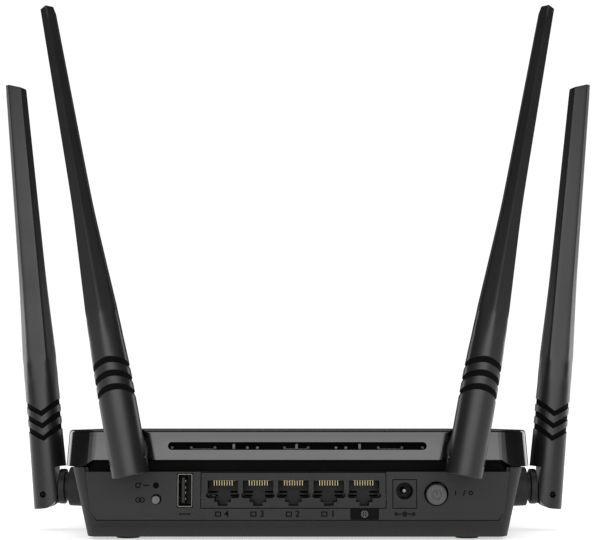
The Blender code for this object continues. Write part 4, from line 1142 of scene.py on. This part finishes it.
def markDisc(x, z, radius, hole=0.0):
    disc = addRod("disc", (x, rearY - marks["proud"], z), (x, rearY + marks["sunk"], z), radius, 32)
    if hole:
        carve(disc, addRod("hole", (x, rearY - past, z), (x, rearY + past, z), hole, 32))
    return disc


def markRing(x, z, radius):
    return markDisc(x, z, radius, radius - marks["line"])


def markArrow(x, z, size, quarter):
    deselectAll()
    deep = (marks["sunk"] - marks["proud"]) / 2
    bpy.ops.mesh.primitive_cylinder_add(
        vertices=3,
        radius=size,
        depth=marks["proud"] + marks["sunk"],
        location=(x, rearY + deep, z),
        rotation=(math.pi / 2, 0, 0),
    )
    arrow = newest("arrow")
    if quarter:
        editing(arrow)
        bpy.ops.mesh.select_all(action="SELECT")
        turn = quarter * math.pi / 2
        bpy.ops.transform.rotate(value=turn, orient_axis="Y", center_override=(x, rearY, z))
        doneEditing()
    return arrow


def markDigit(digit, x, z):
    deselectAll()
    bpy.ops.object.text_add(location=(x, rearY - marks["proud"], z), rotation=(math.pi / 2, 0, 0))
    text = bpy.context.active_object
    text.data.body = str(digit)
    text.data.size = digits["size"]
    text.data.extrude = digits["thick"]
    text.data.offset = digits["bold"]
    text.data.resolution_u = 4
    text.data.align_x, text.data.align_y = "CENTER", "CENTER"
    bpy.ops.object.convert(target="MESH")
    return newest("digit")


def markCut(mark, x0, z0, x1, z1):
    return carve(mark, addBox("cut", (x0, rearY - past, z0), (x1, rearY + past, z1)))


def keySigns():
    # Reset: a ring that an arrow leaves, and a bar towards the hole. Pairing: two linked rings.
    half = marks["line"] / 2
    x, z = keys["x"] - resetSign["left"], keys["resetZ"]
    radius, arrow = resetSign["radius"], resetSign["arrow"]
    yield markCut(markRing(x, z, radius), x, z, x + 2 * past, z + resetSign["gap"])
    yield markArrow(x + past, z + arrow, arrow, 0)
    start, end = resetSign["bar"]
    yield markBar(x + start, z - half, x + end, z + half)
    x, z = keys["x"] - linkSign["left"], keys["pairZ"]
    for side in sides.values():
        ring = markRing(x + side * linkSign["apart"], z, linkSign["radius"])
        low, high = sorted(x - side * clear for clear in linkSign["clear"])
        yield markCut(ring, low, z - 2 * past, high, z + 2 * past)
    yield markBar(x - linkSign["bar"], z - half, x + linkSign["bar"], z + half)


def socketSigns():
    # USB: a line with two arrows. Network: a square and a number. Inlet: a polarity sign.
    line, row = marks["line"], marks["row"]
    x, reach = (usb["x"][0] + usb["x"][1]) / 2, usbSign["half"]
    yield markBar(x - reach, row - line / 2, x + reach, row + line / 2)
    yield markArrow(x + reach, row, usbSign["arrow"], 1)
    yield markArrow(x - reach, row, usbSign["arrow"], 3)
    half = portSign["half"]
    for i, x in enumerate(portCentres()[:-1]):
        start, end = x - portSign["from"], x - portSign["to"]
        square = markBar(start, row - half, end, row + half)
        yield markCut(square, start + line, row - half + line, end - line, row + half - line)
        yield markDigit(lan["count"] - 1 - i, x + portSign["digitRight"], row)
    x = inlet["holeX"]
    yield markRing(x, row, poleSign["ring"])
    yield markDisc(x, row, poleSign["dot"])
    for side in sides.values():
        low, high = sorted(x + side * end for end in poleSign["bar"])
        yield markBar(low, row - line / 2, high, row + line / 2)
        yield markRing(x + side * poleSign["end"], row, poleSign["endRing"])


def powerSigns():
    # On, a slash, and off.
    half = marks["line"] / 2
    x, z = power["x"] + powerSign["right"], power["z"] + powerSign["up"]
    on, off = x - powerSign["apart"], x + powerSign["apart"]
    yield markBar(on - half, z - powerSign["half"], on + half, z + powerSign["half"])
    yield markRing(off, z, powerSign["half"])
    slash = markBar(x - half, z - powerSign["slash"], x + half, z + powerSign["slash"])
    yield moveVerts(slash, (powerSign["lean"], 0, 0), lambda vert: vert.co.z > z)


def makeMarks():
    printed = joinAll("panel_marks", [*keySigns(), *socketSigns(), *powerSigns()])
    show(printed, "casing", inkBlack, "socket_black")


label = {
    "low": (0.0209, 0.0080),
    "high": (0.0322, 0.0124),
    "thick": 0.00012,
    "printThick": 0.00003,
    "round": 0.0004,
    "globe": 0.0014,
    "crossHalf": 0.0013,
}


def makeLabel():
    (lowX, lowZ), (highX, highZ) = label["low"], label["high"]
    face = rearY - label["thick"]
    plate = addBox("port_label", (lowX, face, lowZ), (highX, rearY + marks["sunk"], highZ))
    bevelEdges(plate, label["round"], 4, lambda edge: runsAlong(edge, 1))
    show(plate, "casing", labelFilm, "gloss_black")
    x, z, radius = (lowX + highX) / 2, (lowZ + highZ) / 2, label["globe"]
    front, reach, half = face - label["printThick"], label["crossHalf"], marks["line"] / 2
    globe = addRod("globe", (x, front, z), (x, rearY, z), radius, 40)
    carve(globe, addRod("hole", (x, front - past, z), (x, rearY + past, z), radius - marks["line"], 40))
    equator = addBox("equator", (x - reach, front, z - half), (x + reach, rearY, z + half))
    meridian = addBox("meridian", (x - half, front, z - reach), (x + half, rearY, z + reach))
    symbol = joinAll("label_symbol", [globe, equator, meridian])
    show(symbol, "casing", buttonAbs, "button_grey")


makeMarks()
makeLabel()
print("marks and label made")

antenna = {
    "belowPin": 0.0060,
    "top": 0.1825,
    "axisShift": -0.0024,
    "footS": 0.0156,
    "tipS": 0.0092,
    "roundP": 0.0146,
    "waistP": 0.0074,
    "tipP": 0.0053,
    "roundTop": 0.030,
    "waist": 0.102,
    "flatShare": 0.57,
    "tipSlant": 0.0030,
    "endRound": 0.0004,
    "grooves": (0.0227, 0.0280, 0.0333),
    "grooveHeight": 0.0025,
    "grooveDepth": 0.00080,
    "bandDepth": 0.00035,
    "grooveRise": 0.65,
    "bandGap": 0.00012,
    "bandReach": 0.012,
    # the cage's heights below and above the stretch where it turns from round to creased
    "cageFoot": (-0.0160, -0.0060, 0.0100),
    "cageTip": (0.1280, 0.1550, 0.1850, 0.1950),
    "waistSteps": 8,
}
foot = {
    "notchIn": -0.0060,
    "notchTop": 0.0112,
    "heelRadius": 0.0060,
    "heelOut": -0.0100,
    "forkOut": -0.0150,
    "forkIn": 0.0041,
    "forkTop": 0.0044,
    "reach": 0.0200,
    "below": -0.0120,
}
hinge = {
    "discRadius": 0.00755,
    "discStart": 0.0015,
    "discEnd": 0.0043,
    "pinOut": 0.0106,
    "pinDrop": 0.0033,
    "pinHole": 0.0014,
    "tongueRadius": 0.0038,
    "tongueHalf": 0.0025,
    "shaft": 0.0044,
    "shaftEnd": -0.0171,
    "shaftStart": 0.0010,
    "neckRadius": 0.0060,
    "neckEnd": 0.0020,
    "collarRadius": 0.0058,
    "collar": (-0.0165, -0.0150),
    "passage": 0.0012,
    "discRound": 0.0005,
    "pinRadius": 0.0011,
    "pinRound": 0.0003,
    "pinSunk": 0.0010,
    "gap": 0.0003,
}
# How each hinge stands: the turn of its swivel about Z, about its own axis, and the fold about the pin.
stands = {
    "side_left": (math.pi, 0.0, math.radians(6.1)),
    "side_right": (0.0, 0.0, math.radians(6.1)),
    "rear_left": (-math.pi / 2, math.radians(10.9), 0.0),
    "rear_right": (-math.pi / 2, math.radians(-10.9), 0.0),
}


def ease(share):
    share = min(max(share, 0.0), 1.0)
    return share * share * (3 - 2 * share)


def halfAcross(z):
    share = (z + antenna["belowPin"]) / (antenna["top"] + antenna["belowPin"])
    return (antenna["footS"] + (antenna["tipS"] - antenna["footS"]) * share) / 2


def halfThick(z):
    roundTop, waist = antenna["roundTop"], antenna["waist"]
    if z <= roundTop:
        return antenna["roundP"] / 2
    if z <= waist:
        share = (z - roundTop) / (waist - roundTop)
        return (antenna["roundP"] + (antenna["waistP"] - antenna["roundP"]) * share) / 2
    share = (z - waist) / (antenna["top"] - waist)
    return (antenna["waistP"] + (antenna["tipP"] - antenna["waistP"]) * share) / 2


def cageReach(z):
    # A smooth cage shrinks by a sixth when it is subdivided, and a creased one keeps its size.
    crisp = ease((z - antenna["roundTop"]) / (antenna["waist"] - antenna["roundTop"]))
    ridge = halfAcross(z) * (1.2 - 0.2 * crisp)
    flatX = halfAcross(z) * (0.6 + (antenna["flatShare"] - 0.6) * crisp)
    flatY = halfThick(z) * (1.039 - 0.039 * crisp)
    return ridge, flatX, flatY, crisp


def antennaStock(name):
    steps = antenna["waistSteps"]
    rise = (antenna["waist"] - antenna["roundTop"]) / steps
    turning = [antenna["roundTop"] + rise * i for i in range(steps + 1)]
    heights = [*antenna["cageFoot"], *turning, *antenna["cageTip"]]
    deselectAll()
    bpy.ops.mesh.primitive_circle_add(vertices=6, radius=1, fill_type="NGON", rotation=(0, 0, math.pi / 2))
    stock = newest(name)
    editing(stock)
    size = (1.0, 0.5, math.sin(math.pi / 3))
    low = 0.0
    for i, z in enumerate(heights):
        onTop = lambda face: abs(face.normal.z) > 0.9 and face.calc_center_median().z > low - 1e-5
        pick(stock, "FACE", onTop)
        if i:
            bpy.ops.mesh.extrude_region_move(TRANSFORM_OT_translate={"value": (0, 0, z - low)})
        else:
            bpy.ops.transform.translate(value=(0, 0, z - low))
        ridge, flatX, flatY, crisp = cageReach(z)
        bpy.ops.transform.resize(value=(ridge / size[0], flatY / size[2], 1), center_override=(0, 0, z))
        narrow = flatX / (size[1] * ridge / size[0])
        pick(stock, "VERT", lambda vert: abs(vert.co.z - z) < 1e-5 and abs(vert.co.y) > flatY / 2)
        bpy.ops.transform.resize(value=(narrow, 1, 1), center_override=(0, 0, z))
        if crisp > 0.02:
            pick(stock, "EDGE", lambda edge: abs(middle(edge).z - (z + low) / 2) < 1e-5)
            bpy.ops.transform.edge_crease(value=min(0.15 + 0.75 * crisp, 1.0))
        size, low = (ridge, flatX, flatY), z
    doneEditing()
    step = stock.modifiers.new("rounding", "SUBSURF")
    step.levels = step.render_levels = 3
    applyModifier(stock, step)
    moveVerts(stock, (antenna["axisShift"], 0, 0), lambda vert: True)
    return stock


def bisectAt(piece, point, normal):
    editing(piece)
    bpy.ops.mesh.select_all(action="SELECT")
    bpy.ops.mesh.bisect(plane_co=point, plane_no=normal, use_fill=True, clear_outer=True)
    doneEditing()
    return piece


def shrunk(stock, name, depth):
    keep = 1 - depth / (antenna["roundP"] / 2)
    core = copyOf(stock, name, Matrix())
    return resizeVerts(core, (keep, keep, 1), (antenna["axisShift"], 0, 0), lambda vert: True)


def chevronRing(stock, lowest, low, high):
    # A band round the antenna, lowest where the pin's ends are, and highest at the two ridges.
    reach = antenna["bandReach"]
    middleX = antenna["axisShift"]
    band = addBox("band", (middleX - reach, -reach, lowest + low), (middleX + reach, reach, lowest + high))
    editing(band)
    bpy.ops.mesh.select_all(action="SELECT")
    bpy.ops.mesh.subdivide(number_cuts=1)
    doneEditing()
    rise = reach * antenna["grooveRise"]
    moveVerts(band, (0, 0, rise), lambda vert: abs(vert.co.x - middleX) > reach * 0.9)
    return carve(band, shrunk(stock, "core", antenna["grooveDepth"]))


def isAntennaEnd(edge):
    tipFrom = antenna["top"] - antenna["tipSlant"] - past
    atEnd = middle(edge).z < near - antenna["belowPin"] or middle(edge).z > tipFrom
    return len(edge.link_faces) == 2 and edge.calc_face_angle(0) > 0.9 and atEnd


def openFoot(shell):
    # Room for the swivel's disc, a heel rounded about the pin, and the fork round its tongue.
    reach, below = foot["reach"], foot["below"]
    carve(shell, addBox("notch", (-reach, -reach, below), (foot["notchIn"], reach, foot["notchTop"])))
    heel = addBox("heel", (foot["heelOut"], -reach, foot["heelOut"]), (0, reach, 0))
    deep = reach + 0.01
    carve(heel, addRod("round", (0, -deep, 0), (0, deep, 0), foot["heelRadius"], 96))
    carve(shell, heel)
    half = hinge["tongueHalf"] + hinge["gap"]
    carve(shell, addBox("fork", (foot["forkOut"], -half, below), (foot["forkIn"], half, foot["forkTop"])))
    return carve(shell, addRod("hole", (0, -reach, 0), (0, reach, 0), hinge["pinHole"], 40))


def makeAntennaPattern():
    stock = antennaStock("antenna_stock")
    shell = copyOf(stock, "antenna_pattern", Matrix())
    slope = antenna["tipSlant"] / antenna["tipS"]
    tip = (antenna["axisShift"], 0, antenna["top"] - antenna["tipSlant"] / 2)
    bisectAt(shell, tip, (-slope, 0, 1))
    bisectAt(shell, (0, 0, -antenna["belowPin"]), (0, 0, -1))
    bevelEdges(shell, antenna["endRound"], 3, isAntennaEnd)
    # Each groove gets a near-black inlay in its floor, as painted shade.
    shadeInlayList = []
    gap = antenna["bandGap"]
    for lowest in antenna["grooves"]:
        carve(shell, chevronRing(stock, lowest, 0.0, antenna["grooveHeight"]))
        shadeInlay = chevronRing(stock, lowest, gap, antenna["grooveHeight"] - gap)
        shadeInlayList.append(combine(shadeInlay, shrunk(stock, "outside", antenna["bandDepth"]), "INTERSECT"))
    grooveShades = shadeRound(joinAll("band_pattern", shadeInlayList), 30)
    bpy.data.objects.remove(stock, do_unlink=True)
    return shadeRound(openFoot(shell), 26), grooveShades


def makeSwivelPattern():
    drop, out = hinge["pinDrop"], hinge["pinOut"]
    start, end = hinge["discStart"], hinge["discEnd"]
    swivel = addRod("swivel_pattern", (start, 0, 0), (end, 0, 0), hinge["discRadius"], 96)
    bevelEdges(swivel, hinge["discRound"], 4, lambda edge: not runsAlong(edge, 0))
    for name, start, end, radius in (
        ("neck", hinge["gap"], hinge["neckEnd"], hinge["neckRadius"]),
        ("shaft", hinge["shaftEnd"], hinge["shaftStart"], hinge["shaft"]),
        ("collar", *hinge["collar"], hinge["collarRadius"]),
    ):
        weldOn(swivel, addRod(name, (start, 0, 0), (end, 0, 0), radius, 64))
    half, radius = hinge["tongueHalf"], hinge["tongueRadius"]
    root = (hinge["discEnd"] - past, -half, -drop - radius)
    tongue = addBox("tongue", root, (out, half, -drop + radius))
    weldOn(tongue, addRod("end", (out, -half, -drop), (out, half, -drop), radius, 64))
    weldOn(swivel, tongue)
    reach = foot["reach"]
    carve(swivel, addRod("hole", (out, -reach, -drop), (out, reach, -drop), hinge["pinHole"], 40))
    carve(swivel, addRod("passage", (-reach, 0, 0), (reach, 0, 0), hinge["passage"], 24))
    return shadeRound(swivel, 30)


def makePinPattern():
    low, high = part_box("hinge_pin_side_right")
    reach = (high.y - low.y) / 2 - hinge["pinSunk"]
    pin = addRod("pin_pattern", (0, -reach, 0), (0, reach, 0), hinge["pinRadius"], 40)
    bevelEdges(pin, hinge["pinRound"], 3, lambda edge: not runsAlong(edge, 1))
    return shadeRound(pin, 30)


def placeHinges():
    antennaPattern, grooveShadePattern = makeAntennaPattern()
    swivelPattern, pinPattern = makeSwivelPattern(), makePinPattern()
    for word, (heading, turn, fold) in stands.items():
        outwards = Matrix.Rotation(heading, 4, "Z") @ Matrix.Rotation(turn, 4, "X")
        swivelPlace = Matrix.Translation(joints[f"swivel_{word}"]["pos_m"]) @ outwards
        pinPlace = Matrix.Translation(joints[f"tilt_{word}"]["pos_m"])
        armPlace = pinPlace @ outwards @ Matrix.Rotation(fold, 4, "Y")
        aerial = copyOf(antennaPattern, f"aerial_{word}", armPlace)
        show(aerial, f"arm_{word}", antennaAbs, "antenna_black", f"antenna_{word}")
        # The grooves' near-black inlays are painted shade.
        grooveShades = copyOf(grooveShadePattern, f"bands_{word}", armPlace)
        show(grooveShades, f"arm_{word}", mattBlackAndShade, "antenna_black")
        pin = copyOf(pinPattern, f"pivot_{word}", armPlace)
        show(pin, f"arm_{word}", blackSteel, "pin_steel", f"hinge_pin_{word}")
        swivel = copyOf(swivelPattern, f"knuckle_{word}", swivelPlace)
        show(swivel, f"hinge_{word}", hingeNylon, "hinge_black", f"swivel_{word}")
    for pattern in (antennaPattern, grooveShadePattern, swivelPattern, pinPattern):
        bpy.data.objects.remove(pattern, do_unlink=True)


placeHinges()
print("antennas made")

# The parts inside keep their CAD shapes: only their finish is set here.
insideFinishes = {
    "circuit_board": solderMask,
    "main_chip": chipEpoxy,
    "memory_chip": chipEpoxy,
    "lan_transformer_left": chipEpoxy,
    "lan_transformer_right": chipEpoxy,
    "power_switch_body": chipEpoxy,
    "dual_switch_body": chipEpoxy,
    "heat_sink": blackAnodised,
    "shield_can_left": tinPlate,
    "shield_can_right": tinPlate,
    "power_inductor": ferrite,
    "power_capacitor_1": sleeveFilm,
    "power_capacitor_2": sleeveFilm,
}
for name, node in nodes.items():
    finish = insideFinishes.get(name)
    if name.startswith("coax"):
        finish = coaxJacket
    elif name.startswith("radiator"):
        finish = solderMask
    elif name.startswith("board_screw"):
        finish = zincPlate
    if finish:
        node.data.materials.clear()
        node.data.materials.append(finish)
print("inner parts finished")

stage = {
    "floorHalf": 6.0,
    "cameraBack": 0.56206,
    "cameraUp": 0.0463,
    "cameraTilt": 96.165,
    "lens": 85.0,
    "cameraAside": 0.0020,
    "cameraTurn": 0.175,
    "paperGlow": 0.55,
    "room": 1.05,
    "gloss": 0.08,
}
cards = {
    # place, aim, width, height and watts of each
    "frontCard": ((-0.01, -0.70, 0.212), (-0.01, 0, 0.212), 0.54, 0.42, 2.42),
    "innerWingLeft": ((-0.35, -0.70, 0.212), (-0.35, 0, 0.212), 0.14, 0.42, 0.42),
    "innerWingRight": ((0.33, -0.70, 0.212), (0.33, 0, 0.212), 0.14, 0.42, 0.42),
    "outerWingLeft": ((-0.53, -0.70, 0.212), (-0.53, 0, 0.212), 0.22, 0.42, 0.28),
    "outerWingRight": ((0.51, -0.70, 0.212), (0.51, 0, 0.212), 0.22, 0.42, 0.28),
    "rimLeft": ((-0.95, 0.80, 0.30), (0, 0, 0.10), 0.50, 0.60, 2.4),
    "rimRight": ((0.95, 0.80, 0.30), (0, 0, 0.10), 0.50, 0.60, 2.4),
    "overhead": ((0, 0.10, 1.50), (0, 0, 0), 1.20, 0.80, 6.0),
}


def makeFloor():
    deselectAll()
    bpy.ops.mesh.primitive_plane_add(size=2 * stage["floorHalf"], location=(0, 0, tableZ))
    floor = newest("studio_floor")
    # White paper lit from behind: matt, and bright enough to hide where it ends.
    paper, tree, shader = newMaterial(
        "backlitPaper",
        {"Roughness": 0.85, "Specular IOR Level": 0.0, "Emission Strength": stage["paperGlow"]},
    )
    shader.inputs["Emission Color"].default_value = (1, 1, 1, 1)
    place, noise = grainBump(tree, shader, 3.0, 0.02, 0.3)
    mottled(tree, shader, place, noise, "#c4c4c4", "#c0c0c0", 0.80, 0.90)
    floor.data.materials.append(paper)


def makeLights():
    for name, (place, aim, width, height, watts) in cards.items():
        light = bpy.data.lights.new(name, "AREA")
        light.shape = "RECTANGLE"
        light.size, light.size_y, light.energy = width, height, watts
        lamp = bpy.data.objects.new(name, light)
        lamp.location = place
        lamp.rotation_euler = (Vector(aim) - Vector(place)).to_track_quat("-Z", "Y").to_euler()
        lamp.visible_camera = False
        bpy.context.scene.collection.objects.link(lamp)


def makeRoom():
    world = bpy.data.worlds.new("studio")
    bpy.context.scene.world = world
    world.use_nodes = True
    background = world.node_tree.nodes["Background"]
    background.inputs["Color"].default_value = (1, 1, 1, 1)
    # The room is white, and dark where polished parts mirror it, as with black flags round the table.
    path = addNode(world.node_tree, "ShaderNodeLightPath")
    level = addNode(
        world.node_tree,
        "ShaderNodeMapRange",
        {"To Min": stage["room"], "To Max": stage["gloss"]},
        {"Value": path.outputs["Is Glossy Ray"]},
    )
    world.node_tree.links.new(level.outputs["Result"], background.inputs["Strength"])
    bpy.context.scene.view_settings.view_transform = "Standard"


def makeCamera():
    lens = bpy.data.cameras.new("camera")
    lens.lens = stage["lens"]
    lens.clip_start, lens.clip_end = 0.01, 50
    camera = bpy.data.objects.new("camera", lens)
    camera.location = (stage["cameraAside"], rearY - stage["cameraBack"], stage["cameraUp"])
    camera.rotation_euler = (math.radians(stage["cameraTilt"]), 0, math.radians(stage["cameraTurn"]))
    bpy.context.scene.collection.objects.link(camera)
    bpy.context.scene.camera = camera


makeFloor()
makeLights()
makeRoom()
makeCamera()
print("stage and camera set")
